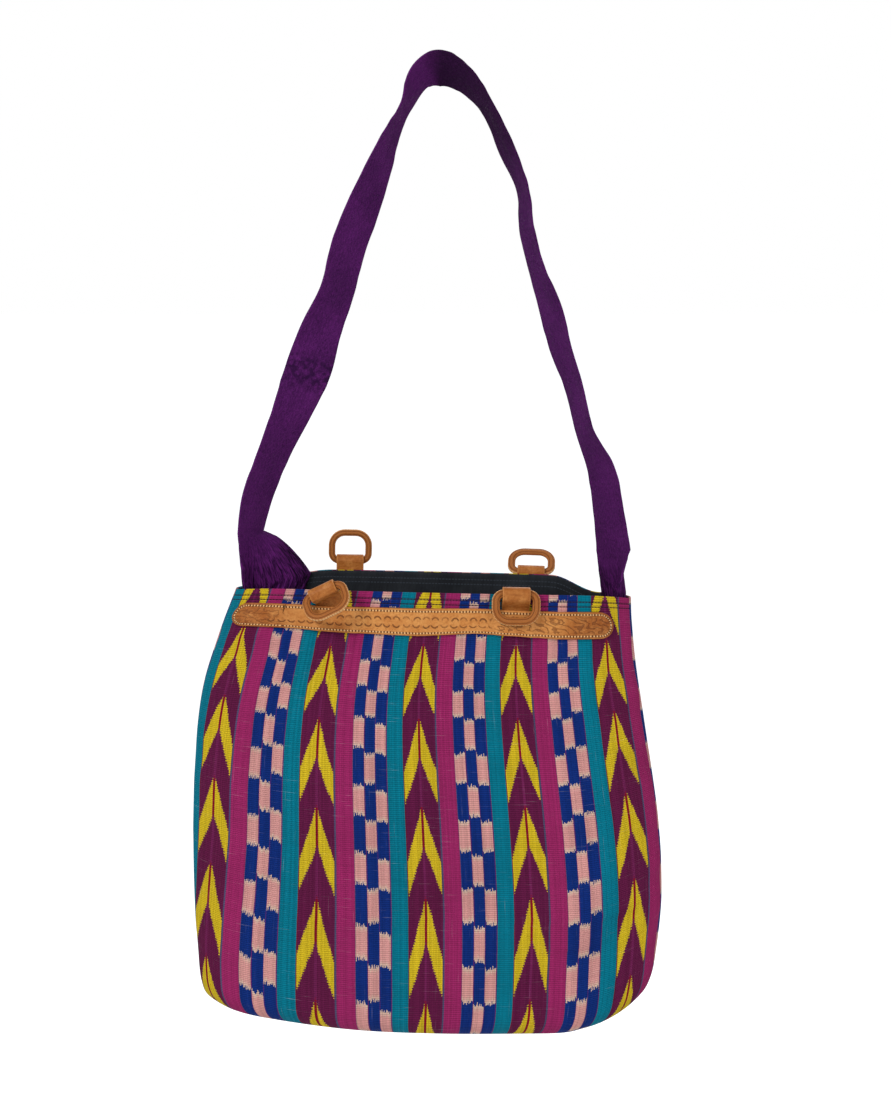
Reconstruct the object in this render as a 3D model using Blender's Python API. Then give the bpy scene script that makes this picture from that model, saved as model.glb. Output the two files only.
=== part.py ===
"""A cloth shoulder bag that hangs by its strap, with leather bands and rings at the mouth.

Two panels of striped, tie-dyed cloth are sewn together along the sides and the bottom.
A black lining hangs inside. A leather band is sewn across each panel under the rim. Each
band holds two folded leather tabs, and each tab carries a leather ring that can turn.
The woven strap spreads into a pleated fan at each end, sewn inside a corner of the mouth.

Metres. X runs to the right of the front, Y to the back, Z up. The origin is under the
crest of the strap, where a peg or a shoulder holds the bag.
"""

import collections
import functools
import math

import bpy
import numpy as np

# Seats and thicknesses
GAP = 0.0003
CLOTH = 0.0015
LINING = 0.0008
LINING_EASE = 0.0070
# The panel's shares between which the lining leaves the cloth
LINING_LEAVES = (0.075, 0.14)
BAND_THICKNESS = 0.0024
TAB_PLY = 0.0015
FOOT_PLY = 0.0007
STRAP_THICKNESS = 0.0016

# The mouth: its corners are the upper ends of the side seams
STRAP_DROP = 0.4176
MOUTH_LEFT = 0.1652
MOUTH_RIGHT = 0.1595
MOUTH_SLOPE = 0.0075
MOUTH_HALF_DEPTH = 0.028
FRONT_RIM_RISE = 0.005
BACK_RIM_RISE = 0.0125
# Where the back rim has risen, begins to fall and has fallen, as shares of the mouth
BACK_RIM_RISEN = 0.24
BACK_RIM_FALLS = 0.80
BACK_RIM_FALLEN = 0.92

# The body under the mouth
LEFT_HEIGHT = 0.353
RIGHT_HEIGHT = 0.342
LEFT_BULGE = 0.039
RIGHT_BULGE = 0.029
BOTTOM_SAG = 0.031
BELLY_HALF_DEPTH = 0.036
BOTTOM_ROUNDING = 0.07
SECTION_FLATNESS = 3.2
SECTION_ROUNDNESS = 2.2

# Outlines: (share of the bulge outwards, share of the height downwards), from the mouth
LEFT_OUTLINE = [(0, 0), (0.39, 0.113), (0.77, 0.255), (0.95, 0.453), (1, 0.666), (0.95, 0.85),
                (0.85, 0.963), (0.67, 1)]
RIGHT_OUTLINE = [(0, 0), (0.03, 0.056), (0.17, 0.167), (0.45, 0.316), (0.86, 0.544), (1, 0.734),
                 (0.86, 0.889), (0.655, 0.965), (0.41, 1)]
# (share of the way from left to right, share of the sag)
BOTTOM_OUTLINE = [(0, 0), (0.066, 0.34), (0.16, 0.56), (0.344, 0.85), (0.53, 0.97), (0.72, 1),
                  (0.813, 1), (0.86, 0.9), (0.906, 0.73), (0.953, 0.43), (1, 0)]

# Folds of the front: (place across, lean, depth, half width, upper end, lower end), as
# shares of the panel, apart from the depth and half width
FRONT_FOLDS = [(0.13, -0.03, 0.0040, 0.016, 0.11, 0.42), (0.31, -0.02, 0.0030, 0.012, 0.11, 0.30),
               (0.50, 0.02, 0.0040, 0.013, 0.11, 0.36), (0.79, 0.03, 0.0030, 0.014, 0.11, 0.33),
               (0.90, -0.10, 0.0045, 0.022, 0.72, 0.97), (0.78, -0.06, 0.0030, 0.020, 0.78, 0.97)]
BACK_FOLDS = [(0.22, 0.02, 0.0030, 0.014, 0.11, 0.34), (0.62, -0.02, 0.0040, 0.015, 0.11, 0.40)]
BILLOW = 0.0025
# The panel's shares between which folds grow from nothing, and fade out again
FOLDS_GROW = (0.10, 0.15)
FOLDS_FADE = (0.93, 0.99)

# The cloth's stripes, from left to right in one repeat
CLOTH_WIDTH = 0.405
ARROW_CENTRE = 0.2001
ARROW_HALF = 0.015
MAGENTA_STRIPE = 0.017
CHECK_COLUMN = 0.0085
TEAL_STRIPE = 0.0115
ARROW_PITCH = 0.063
ROWS_IN_AN_ARROW = 4
WRAP_ZONE = 0.042
WRAP_COLUMNS = 5
LINING_STRIDE = 3
LINING_MARGIN = 0.002

# Leather bands
BAND_WIDTH = 0.0230
BAND_TOP_MARGIN = 0.0130
BAND_LEFT_MARGIN = 0.0150
BAND_RIGHT_MARGIN = 0.0260
BAND_END_STEPS = 4
BAND_EASE = 0.0012
BAND_RAMP = 0.0070
BAND_UPRIGHT = 0.125

# Tabs and rings. Place is across from the middle of the mouth, rise is the bar's height over
# the rim, depth is the bar's distance from the cloth, lean is the tab's angle from upright
# and rest is the ring's angle from hanging, both in degrees. The last two are the ring's width
# and the width of its leather
TAB_WIDTH = 0.0225
TAB_CAVITY = 0.0038
TAB_FOOT = 0.0075
TAB_SHOULDER = 0.0012
TAB_LOOP_STEPS = 10
TAB_PLY_STEPS = 5
Tab = collections.namedtuple("Tab", "side place rise depth lean rest ring_width ring_band")
TABS = {
    "front_left": Tab("front", -0.0915, 0.0004, 0.0105, -27.0, 38.0, 0.0395, 0.0064),
    "front_right": Tab("front", 0.0640, 0.0015, 0.0058, 0.0, 9.0, 0.0395, 0.0066),
    "back_left": Tab("back", -0.0725, 0.0063, 0.0058, 0.0, 176.0, 0.0360, 0.0055),
    "back_right": Tab("back", 0.0780, 0.0005, 0.0058, 0.0, 122.0, 0.0395, 0.0062),
}
RING_HEIGHT = 0.0292
RING_THICKNESS = 0.0042
RING_UPPER_CORNER = 0.0065
RING_LOWER_CORNER = 0.0108
RING_CORNER_STEPS = 4
RING_SIDES = 8

# The strap
STRAP_WIDTH = 0.038
STRAP_COLUMNS = 6
# Its middle line: (x, y, z, visible width from the front, rows to the next point)
STRAP_ROUTE = [
    (-0.1530, 0.005, -0.3720, 0.0190, 1), (-0.1500, 0.005, -0.3550, 0.0220, 1),
    (-0.1448, 0.004, -0.3360, 0.0240, 2), (-0.1314, 0.003, -0.3030, 0.0250, 2),
    (-0.1170, 0.002, -0.2710, 0.0310, 2), (-0.1040, 0.002, -0.2380, 0.0370, 2),
    (-0.0935, 0.002, -0.2060, 0.0325, 2), (-0.0800, 0.001, -0.1740, 0.0275, 2),
    (-0.0716, 0.001, -0.1420, 0.0270, 2), (-0.0594, 0.000, -0.1100, 0.0255, 2),
    (-0.0469, 0.000, -0.0780, 0.0200, 2), (-0.0348, 0.000, -0.0470, 0.0110, 2),
    (-0.0240, 0.000, -0.0270, 0.0090, 3), (-0.0130, 0.000, -0.0060, 0.0190, 3),
    (0.0030, 0.000, 0.0015, 0.0270, 3), (0.0220, 0.000, -0.0080, 0.0190, 3),
    (0.0410, 0.000, -0.0310, 0.0095, 2), (0.0560, 0.000, -0.0625, 0.0115, 2),
    (0.0690, 0.000, -0.0940, 0.0085, 2), (0.0727, 0.001, -0.1260, 0.0105, 2),
    (0.0809, 0.001, -0.1580, 0.0120, 2), (0.0916, 0.002, -0.1900, 0.0165, 2),
    (0.1003, 0.002, -0.2220, 0.0170, 2), (0.1115, 0.002, -0.2540, 0.0135, 2),
    (0.1199, 0.003, -0.2870, 0.0130, 2), (0.1340, 0.003, -0.3200, 0.0210, 2),
    (0.1400, 0.004, -0.3530, 0.0235, 2), (0.1447, 0.004, -0.3860, 0.0265, 0),
]
# Each fan: how far it reaches along the front and the back wall from the corner, how much
# its free edge stands up, how deep it is sewn in, and the depth of its pleats
Fan = collections.namedtuple("Fan", "front_reach back_reach stand sewn pleat")
FANS = {
    "left": Fan(0.012, 0.070, 0.014, 0.026, 0.0020),
    "right": Fan(0.018, 0.030, -0.002, 0.026, 0.0012),
}
FAN_ROWS = 4
FAN_EASE = 0.0010

PLUM = ("plum cloth", (0.150, 0.014, 0.060), 0.85)
MAGENTA = ("magenta cloth", (0.340, 0.016, 0.110), 0.85)
YELLOW = ("yellow cloth", (0.700, 0.530, 0.040), 0.85)
TEAL = ("teal cloth", (0.006, 0.200, 0.250), 0.85)
BLUE = ("blue cloth", (0.012, 0.035, 0.230), 0.85)
PINK = ("pink cloth", (0.680, 0.270, 0.270), 0.85)
BLACK = ("black lining", (0.012, 0.014, 0.018), 0.80)
PURPLE = ("purple strap", (0.070, 0.010, 0.110), 0.75)
TAN = ("tan leather", (0.480, 0.180, 0.045), 0.50)


# The scene is emptied, and each sub-part gets a material of its own
def clear_scene():
    for item in list(bpy.data.objects):
        bpy.data.objects.remove(item, do_unlink=True)


def make_material(finish, owner):
    name, colour, roughness = finish
    material = bpy.data.materials.new(f"{owner} {name}")
    material.use_nodes = True
    shader = material.node_tree.nodes["Principled BSDF"]
    shader.inputs["Base Color"].default_value = (*colour, 1.0)
    shader.inputs["Roughness"].default_value = roughness
    shader.inputs["Metallic"].default_value = 0.0
    return material


def make_object(name, points, triangles, finishes, fields=None):
    """One closed mesh; fields gives each triangle the index of its finish."""
    mesh = bpy.data.meshes.new(name)
    mesh.from_pydata([tuple(point) for point in points], [], triangles)
    for finish in finishes:
        mesh.materials.append(make_material(finish, name))
    if fields:
        mesh.polygons.foreach_set("material_index", fields)
    mesh.shade_smooth()
    mesh.set_sharp_from_angle(angle=math.radians(40))
    item = bpy.data.objects.new(name, mesh)
    bpy.context.scene.collection.objects.link(item)
    return item


# Small helpers for curves and grids
def smoothstep(low, high, value):
    share = np.clip((value - low) / (high - low), 0.0, 1.0)
    return share * share * (3.0 - 2.0 * share)


def unit(vector):
    return vector / np.linalg.norm(vector)


def smooth_curve(points, steps=12):
    """A smooth curve through the points: its points, and their share of its length."""
    knots = np.array(points, dtype=float)
    tangents = np.gradient(knots, axis=0)
    curve = [knots[0]]
    for index in range(len(knots) - 1):
        for step in range(1, steps + 1):
            curve.append(hermite(knots, tangents, index, step / steps))
    curve = np.array(curve)
    lengths = np.linalg.norm(np.diff(curve, axis=0), axis=1)
    shares = np.concatenate([[0.0], np.cumsum(lengths)])
    return shares / shares[-1], curve


def hermite(knots, tangents, index, share):
    square = share * share
    cube = square * share
    return ((2 * cube - 3 * square + 1) * knots[index]
            + (cube - 2 * square + share) * tangents[index]
            + (3 * square - 2 * cube) * knots[index + 1]
            + (cube - square) * tangents[index + 1])


def point_on(curve, share):
    shares, points = curve
    return np.stack([np.interp(share, shares, points[:, axis]) for axis in range(points.shape[1])], -1)


def grid_normals(grid):
    """Unit normals of a grid of points, taken from its neighbours."""
    down = np.gradient(grid, axis=0)
    across = np.gradient(grid, axis=1)
    normals = np.cross(down, across)
    return normals / np.linalg.norm(normals, axis=2, keepdims=True)


def two_triangles(corners, rising):
    a, b, c, d = corners
    if rising:
        return [(a, b, d), (b, c, d)]
    return [(a, b, c), (a, c, d)]


def shell(upper, lower, rising=None):
    """A closed shell between two grids of the same size; the upper one faces out.

    Returns its points, its triangles, and the cell and side that each triangle lies on.
    """
    rows, columns = upper.shape[:2]
    points = list(upper.reshape(-1, 3)) + list(lower.reshape(-1, 3))
    count = rows * columns
    triangles = []
    cells = []
    for row in range(rows - 1):
        for column in range(columns - 1):
            a = row * columns + column
            corners = (a, a + columns, a + columns + 1, a + 1)
            slope = bool(rising and rising(column))
            for half, triangle in enumerate(two_triangles(corners, slope)):
                triangles.append(triangle)
                cells.append((row, column, half, True))
            under = tuple(count + corner for corner in corners)
            for half, triangle in enumerate(two_triangles(under, slope)):
                triangles.append(triangle[::-1])
                cells.append((row, column, half, False))
    for first, second in border(rows, columns):
        triangles += [(second, first, count + first), (second, count + first, count + second)]
        cells += [(0, 0, 0, False)] * 2
    return points, triangles, cells


def border(rows, columns):
    """The grid's rim as pairs of neighbouring corners, in the sense of its faces."""
    rim = [row * columns for row in range(rows)]
    rim += [(rows - 1) * columns + column for column in range(1, columns)]
    rim += [row * columns + columns - 1 for row in range(rows - 2, -1, -1)]
    rim += [column for column in range(columns - 2, 0, -1)]
    return [(rim[index], rim[(index + 1) % len(rim)]) for index in range(len(rim))]


# The cloth's surface, as a patch between its four edges. Its sides are front and back, and
# the same sides without folds, which the lining follows, are front lining and back lining.
LEFT_CORNER = np.array([-MOUTH_LEFT, -STRAP_DROP])
RIGHT_CORNER = np.array([MOUTH_RIGHT, -STRAP_DROP - MOUTH_SLOPE])
LEFT_EDGE = smooth_curve([(LEFT_CORNER[0] - LEFT_BULGE * out, LEFT_CORNER[1] - LEFT_HEIGHT * down)
                          for out, down in LEFT_OUTLINE])
RIGHT_EDGE = smooth_curve([(RIGHT_CORNER[0] + RIGHT_BULGE * out, RIGHT_CORNER[1] - RIGHT_HEIGHT * down)
                           for out, down in RIGHT_OUTLINE])
LEFT_FOOT = LEFT_EDGE[1][-1]
RIGHT_FOOT = RIGHT_EDGE[1][-1]
BOTTOM_EDGE = smooth_curve([LEFT_FOOT + (RIGHT_FOOT - LEFT_FOOT) * across - np.array([0, BOTTOM_SAG * sag])
                            for across, sag in BOTTOM_OUTLINE])


def rim_rise(side, across):
    """How far the rim stands over the line between the mouth's corners."""
    if side.startswith("front"):
        return FRONT_RIM_RISE * (1 - abs(2 * across - 1) ** 8)
    rising = smoothstep(0.0, BACK_RIM_RISEN, across)
    falling = smoothstep(BACK_RIM_FALLS, BACK_RIM_FALLEN, across)
    return BACK_RIM_RISE * rising * (1 - falling)


def rim_line(side, across):
    straight = LEFT_CORNER + (RIGHT_CORNER - LEFT_CORNER) * np.asarray(across)[..., None]
    straight[..., 1] += rim_rise(side, across)
    return straight


def fold_depth(side, across, down):
    """Gathers under the band, folds at the lower corner and a slow billow."""
    if side.endswith("lining"):
        return 0.0
    quiet = smoothstep(*FOLDS_GROW, down) * (1 - smoothstep(*FOLDS_FADE, down))
    width = MOUTH_LEFT + MOUTH_RIGHT
    total = BILLOW * np.sin(2 * math.pi * (1.4 * across + 0.6 * down)) * np.sin(math.pi * down)
    for place, lean, depth, half_width, top, end in FRONT_FOLDS if side == "front" else BACK_FOLDS:
        along = (down - top) / (end - top)
        if 0.0 < along < 1.0:
            offset = (across - place - lean * along) * width / half_width
            total = total + depth * math.sin(math.pi * math.sqrt(along)) * np.exp(-offset * offset)
    return -quiet * total


@functools.lru_cache(maxsize=None)
def cloth_row(side, down):
    """The cloth's outer face at one share of its height, finely sampled from left to right."""
    across = 0.5 - 0.5 * np.cos(np.linspace(0.0, math.pi, 161))
    top = rim_line(side, across)
    bottom = point_on(BOTTOM_EDGE, across)
    left = point_on(LEFT_EDGE, down)
    right = point_on(RIGHT_EDGE, down)
    share = across[:, None]
    flat = ((1 - down) * top + down * bottom + (1 - share) * left + share * right
            - (1 - down) * ((1 - share) * LEFT_CORNER + share * RIGHT_CORNER)
            - down * ((1 - share) * LEFT_FOOT + share * RIGHT_FOOT))
    section = (1 - np.abs(2 * across - 1) ** SECTION_FLATNESS) ** (1 / SECTION_ROUNDNESS)
    belly = math.sin(0.5 * math.pi * min(1.0, down / 0.45))
    half_depth = MOUTH_HALF_DEPTH + (BELLY_HALF_DEPTH - MOUTH_HALF_DEPTH) * belly
    near_end = max(0.0, (down - 1 + BOTTOM_ROUNDING) / BOTTOM_ROUNDING)
    closing = math.sqrt(max(0.0, 1 - near_end * near_end))
    depth = GAP / 2 + section * (half_depth + fold_depth(side, across, down)) * closing
    sign = -1.0 if side.startswith("front") else 1.0
    points = np.stack([flat[:, 0], sign * depth, flat[:, 1]], axis=1)
    lengths = np.linalg.norm(np.diff(points, axis=0), axis=1)
    shares = np.concatenate([[0.0], np.cumsum(lengths)])
    return shares / shares[-1], points, shares[-1]


def on_cloth(side, along, down):
    shares, points, _ = cloth_row(side, round(float(down), 6))
    return point_on((shares, points), float(along))


def cloth_normal(side, along, down):
    """The cloth's outward normal; on a seam it lies in the seam's plane."""
    step = 0.002
    on_side_seam = along <= 0 or along >= 1
    if on_side_seam and down >= 1:
        beside = step if along <= 0 else 1 - step
        return unit(cloth_normal(side, along, 1 - step) + cloth_normal(side, beside, 1.0))
    across = on_cloth(side, min(1, along + step), down) - on_cloth(side, max(0, along - step), down)
    drop = on_cloth(side, along, min(1, down + step)) - on_cloth(side, along, max(0, down - step))
    normal = np.cross(drop, across) if side.startswith("front") else np.cross(across, drop)
    if on_side_seam or down >= 1:
        normal[1] = 0.0
    return unit(normal)


def wall(side, along, down, lift):
    """A point that stands off the cloth's outer face, outwards for a positive lift."""
    return on_cloth(side, along, down) + lift * cloth_normal(side, along, down)


def wall_grid(side, alongs, downs, lift):
    return np.array([[wall(side, along, down, lift) for along in alongs] for down in downs])


def row_length(side, down):
    return cloth_row(side, round(float(down), 6))[2]


def share_at(side, down, x):
    """Where a row of the cloth reaches a place across, as a share of the row."""
    shares, points, _ = cloth_row(side, round(float(down), 6))
    return float(np.interp(x, points[:, 0], shares))


MIDDLE_HEIGHT = (LEFT_HEIGHT + RIGHT_HEIGHT) / 2 + BOTTOM_SAG + FRONT_RIM_RISE


def down_share(distance):
    """A distance under the rim, as a share of the panel's height."""
    return distance / MIDDLE_HEIGHT


# The two panels of striped cloth
STRIPES = [("arrow", ARROW_HALF), ("arrow", ARROW_HALF), ("magenta", MAGENTA_STRIPE),
           ("check", CHECK_COLUMN), ("check", CHECK_COLUMN), ("check", CHECK_COLUMN),
           ("teal", TEAL_STRIPE)]


def stripe_columns():
    """Column borders across the cloth as shares, and for each column its stripe and number."""
    repeat = sum(width for _, width in STRIPES)
    place = ARROW_CENTRE - ARROW_HALF
    place -= repeat * math.ceil(place / repeat)
    borders = [0.0]
    kinds = []
    while place < CLOTH_WIDTH:
        for number, (kind, width) in enumerate(STRIPES):
            place += width
            end = min(place, CLOTH_WIDTH)
            if end - borders[-1] < CHECK_COLUMN / 2:
                continue
            in_wrap = borders[-1] < WRAP_ZONE or end > CLOTH_WIDTH - WRAP_ZONE
            pieces = 2 if in_wrap and end - borders[-1] > 1.2 * CHECK_COLUMN else 1
            start = borders[-1]
            for piece in range(pieces):
                borders.append(start + (end - start) * (piece + 1) / pieces)
                kinds.append((kind, number))
    borders[-1] = CLOTH_WIDTH
    return [border / CLOTH_WIDTH for border in borders], kinds


def panel_rows(coarser):
    """Row borders: the rim, the band's edges, then even rows down to the rounded bottom."""
    first = BAND_TOP_MARGIN + BAND_WIDTH
    step = coarser * ARROW_PITCH / ROWS_IN_AN_ARROW
    count = round((MIDDLE_HEIGHT * (1 - BOTTOM_ROUNDING) - first) / step)
    start = down_share(first)
    rows = [0.0, down_share(BAND_TOP_MARGIN), start]
    rows += [start + (1 - BOTTOM_ROUNDING - start) * index / count for index in range(1, count + 1)]
    bends = 4
    rows += [1 - BOTTOM_ROUNDING * (1 - math.sin(0.5 * math.pi * index / bends))
             for index in range(1, bends + 1)]
    return rows


def field_of(kind, number, row, half, coarser):
    """The colour of one triangle: arrows, checks or a plain stripe."""
    if kind == "magenta":
        return MAGENTA
    if kind == "teal":
        return TEAL
    if kind == "check":
        blue = (row * coarser // 2 + number) % 2
        return BLUE if blue else PINK
    upper = half == (1 if number == 0 else 0)
    phase = (row + (0 if upper else 1)) % max(2, ROWS_IN_AN_ARROW // coarser)
    return YELLOW if phase in (1, 2) and coarser == 1 or phase == 1 else PLUM


def make_panel(name, side, coarser):
    alongs, kinds = stripe_columns()
    rows = panel_rows(coarser)
    outer = wall_grid(side, alongs, rows, 0.0)
    inner = wall_grid(side, alongs, rows, -CLOTH)
    rising = lambda column: kinds[column][1] != 1
    if side == "back":
        points, triangles, cells = shell(inner, outer, rising)
    else:
        points, triangles, cells = shell(outer, inner, rising)
    finishes = [PLUM, MAGENTA, YELLOW, TEAL, BLUE, PINK]
    fields = [finishes.index(field_of(*kinds[column], row, half, coarser)) for row, column, half, _ in cells]
    return make_object(name, points, triangles, finishes, fields)


# The lining: an open pouch, a little smaller than the cloth around it
def lining_lift(down):
    return -CLOTH - GAP - LINING_EASE * float(smoothstep(*LINING_LEAVES, down))


def lining_loop(alongs, down):
    """One level of the pouch: along the front, then back along the rear."""
    front = [wall("front lining", along, down, lining_lift(down)) for along in alongs]
    back = [wall("back lining", along, down, lining_lift(down)) for along in alongs]
    for index in (0, -1):
        front[index] = (front[index] + back[index]) / 2
    return front + back[-2:0:-1]


def make_lining():
    alongs, _ = stripe_columns()
    last = len(alongs) - 1
    alongs = [along for index, along in enumerate(alongs)
              if min(index, last - index) < WRAP_COLUMNS or index % LINING_STRIDE == 0]
    rows = [down_share(LINING_MARGIN)] + panel_rows(LINING_STRIDE)[1:-1]
    outer = np.array([lining_loop(alongs, down) for down in rows])
    across = np.roll(outer, -1, axis=1) - np.roll(outer, 1, axis=1)
    normals = np.cross(np.gradient(outer, axis=0), across)
    normals /= np.linalg.norm(normals, axis=2, keepdims=True)
    count = outer.shape[1]
    points = list(outer.reshape(-1, 3)) + list((outer - LINING * normals).reshape(-1, 3))
    triangles = []
    for layer in range(2):
        start = layer * len(rows) * count
        for row in range(len(rows) - 1):
            triangles += ring_of_triangles(start + row * count, start + (row + 1) * count, count, layer == 1)
        triangles += pinch_of_triangles(start + (len(rows) - 1) * count, len(alongs), layer == 1)
    triangles += ring_of_triangles(len(rows) * count, 0, count, False)
    return make_object("lining", points, triangles, [BLACK])


def ring_of_triangles(upper, lower, count, inward):
    """The band between two rings of points, facing out unless inward."""
    triangles = []
    for index in range(count):
        after = (index + 1) % count
        quad = (upper + index, lower + index, lower + after, upper + after)
        triangles += two_triangles(quad[::-1] if inward else quad, False)
    return triangles


def pinch_of_triangles(start, length, inward):
    """Closes the bottom between the front half and the back half of the last ring."""
    count = 2 * length - 2
    front = [start + index for index in range(length)]
    back = [start + (count - index) % count for index in range(length)]
    triangles = [(front[0], back[1], front[1])]
    for index in range(1, length - 2):
        triangles += [(front[index], back[index], front[index + 1]),
                      (back[index], back[index + 1], front[index + 1])]
    triangles.append((front[-2], back[-2], front[-1]))
    return [triangle[::-1] for triangle in triangles] if inward else triangles


# The leather bands across the mouth
def tabs_on(side):
    return [tab for tab in TABS.values() if tab.side == side]


def foot_span(tab):
    """The least and greatest place across that a tab's foot covers under the band."""
    lean = math.radians(tab.lean)
    foot = tab_levels(tab)[1]
    places = []
    for half in (-TAB_WIDTH / 2, TAB_WIDTH / 2):
        crossing = (half * math.sin(lean) - tab.rise - BAND_TOP_MARGIN) / math.cos(lean)
        for level in (crossing, foot):
            places.append(tab.place + half * math.cos(lean) + level * math.sin(lean))
    return min(places), max(places)


def band_lift(side, x):
    """How far the band's back stands off the cloth: it rides up over the feet of the tabs."""
    lift = GAP
    for tab in tabs_on(side):
        low, high = foot_span(tab)
        distance = max(low - x, x - high)
        lift += (2 * FOOT_PLY + 3 * GAP) * (1 - float(smoothstep(BAND_EASE, BAND_RAMP, distance)))
    return lift


def band_columns(side, down, start, end):
    """Columns along the band as distances: its round ends, the cloth's columns, the tabs."""
    radius = BAND_WIDTH / 2
    length = row_length(side, down)
    columns = []
    for step in range(BAND_END_STEPS + 1):
        inset = radius * (1 - math.cos(0.5 * math.pi * (step + 0.35) / (BAND_END_STEPS + 0.35)))
        columns += [start + inset, end - inset]
    low = start + radius + 0.002
    high = end - radius - 0.002
    columns += [share * length for share in stripe_columns()[0] if low < share * length < high]
    for tab in tabs_on(side):
        low, high = foot_span(tab)
        for beyond in (BAND_EASE, BAND_RAMP):
            columns += [share_at(side, down, x) * length for x in (low - beyond, high + beyond)]
    columns = sorted(columns)
    return [column for index, column in enumerate(columns)
            if index == 0 or column - columns[index - 1] > GAP]


def make_band(name, side):
    middle = down_share(BAND_TOP_MARGIN + BAND_WIDTH / 2)
    radius = BAND_WIDTH / 2
    length = row_length(side, middle)
    start = BAND_LEFT_MARGIN
    end = length - BAND_RIGHT_MARGIN
    back = []
    front = []
    for column in band_columns(side, middle, start, end):
        inset = max(0.0, radius - min(column - start, end - column))
        half_height = math.sqrt(max(0.0, radius * radius - inset * inset))
        back_line = []
        front_line = []
        x = on_cloth(side, column / length, middle)[0]
        for level in (-1.0, 0.0, 1.0):
            down = middle + down_share(level * half_height)
            along = share_at(side, down, x) if abs(x) < BAND_UPRIGHT else column / length
            back_line.append(wall(side, along, down, band_lift(side, x)))
            front_line.append(wall(side, along, down, band_lift(side, x) + BAND_THICKNESS))
        back.append(back_line)
        front.append(front_line)
    upper, lower = (back, front) if side == "front" else (front, back)
    points, triangles, _ = shell(np.array(upper), np.array(lower))
    return make_object(name, points, triangles, [TAN])


# A tab's place on the cloth: the loop's centre and the directions of its bar, of up and of out
def tab_frame(tab):
    along = share_at(tab.side, 0.0, tab.place)
    step = TAB_WIDTH / 2 / row_length(tab.side, 0.0)
    level = unit(on_cloth(tab.side, along + step, 0.0) - on_cloth(tab.side, along - step, 0.0))
    under_band = share_at(tab.side, down_share(BAND_TOP_MARGIN), sum(foot_span(tab)) / 2)
    out = cloth_normal(tab.side, under_band, down_share(BAND_TOP_MARGIN))
    level = unit(level - out * np.dot(out, level))
    upright = np.cross(out, level) if tab.side == "back" else np.cross(level, out)
    upright = upright if upright[2] > 0 else -upright
    centre = on_cloth(tab.side, along, 0.0) + upright * tab.rise + out * tab.depth
    lean = math.radians(tab.lean)
    bar = level * math.cos(lean) - upright * math.sin(lean)
    up = upright * math.cos(lean) + level * math.sin(lean)
    return centre, bar, up, out


def tab_levels(tab):
    """Where a tab leaves the cloth and where its foot ends, along the tab from the bar."""
    lean = math.radians(abs(tab.lean))
    drop = tab.rise + BAND_TOP_MARGIN
    corner = TAB_WIDTH / 2 * math.tan(lean)
    shoulder = corner - (drop - TAB_SHOULDER) / math.cos(lean)
    foot = -corner - drop / math.cos(lean) - TAB_FOOT * math.cos(lean) ** 2
    return shoulder, foot


def tab_path(tab):
    """The folded strip from the side: up from the foot, over the ring's bar and down again.

    Each station is (outwards, upwards, thickness) of the strip's middle, from the bar. The
    plies are pared thin at the foot, where they lie on each other under the band.
    """
    radius = TAB_CAVITY + TAB_PLY / 2
    shoulder, foot = tab_levels(tab)
    back = GAP - tab.depth + FOOT_PLY / 2
    front = back + FOOT_PLY + GAP
    levels = [foot] + [shoulder * (1 - step / TAB_PLY_STEPS) for step in range(TAB_PLY_STEPS)]
    plies = []
    for start, end in ((back, -radius), (front, radius)):
        ply = []
        for level in levels:
            share = float(smoothstep(shoulder, -TAB_CAVITY, level))
            ply.append((start + (end - start) * share, level, FOOT_PLY + (TAB_PLY - FOOT_PLY) * share))
        plies.append(ply)
    loop = []
    for step in range(TAB_LOOP_STEPS + 1):
        angle = math.pi * (1 - step / TAB_LOOP_STEPS)
        loop.append((radius * math.cos(angle), radius * math.sin(angle), TAB_PLY))
    return plies[0] + loop + plies[1][::-1]


def make_tab(name, tab):
    centre, bar, up, out = tab_frame(tab)
    path = np.array(tab_path(tab))
    tangents = np.gradient(path[:, :2], axis=0)
    tangents /= np.linalg.norm(tangents, axis=1, keepdims=True)
    faces = {1: [], -1: []}
    for (outwards, upwards, ply), tangent in zip(path, tangents):
        for face, rows in faces.items():
            lift = face * ply / 2
            middle = centre + out * (outwards - tangent[1] * lift) + up * (upwards + tangent[0] * lift)
            rows.append([middle - bar * TAB_WIDTH / 2, middle + bar * TAB_WIDTH / 2])
    over, under = np.array(faces[1]), np.array(faces[-1])
    if np.dot(np.cross(up, bar), out) > 0:
        over, under = under, over
    points, triangles, _ = shell(over, under)
    return make_object(name, points, triangles, [TAN])


# The rings: a straight bar in the tab, rounded corners and a fuller lower edge
def ring_line(tab):
    """The ring's middle line from the bar downwards, as (across, down) with the bar at zero."""
    half = (tab.ring_width - tab.ring_band) / 2
    height = RING_HEIGHT - tab.ring_band
    corners = [(half, 0, RING_UPPER_CORNER, 90), (half, height, RING_LOWER_CORNER, 0),
               (-half, height, RING_LOWER_CORNER, -90), (-half, 0, RING_UPPER_CORNER, -180)]
    line = []
    for x, z, radius, start in corners:
        centre_x = x - math.copysign(radius, x)
        centre_z = z + (radius if z == 0 else -radius)
        for step in range(RING_CORNER_STEPS + 1):
            angle = math.radians(start - 90 * step / RING_CORNER_STEPS)
            line.append((centre_x + radius * math.cos(angle), centre_z - radius * math.sin(angle)))
    return line


def ring_axes(tab):
    """The bar's centre and direction, the way the ring hangs from it, and its flat side's normal."""
    centre, bar, up, out = tab_frame(tab)
    angle = math.radians(tab.rest)
    hang = out * math.sin(angle) - up * math.cos(angle)
    return centre, bar, hang, unit(np.cross(bar, hang))


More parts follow.
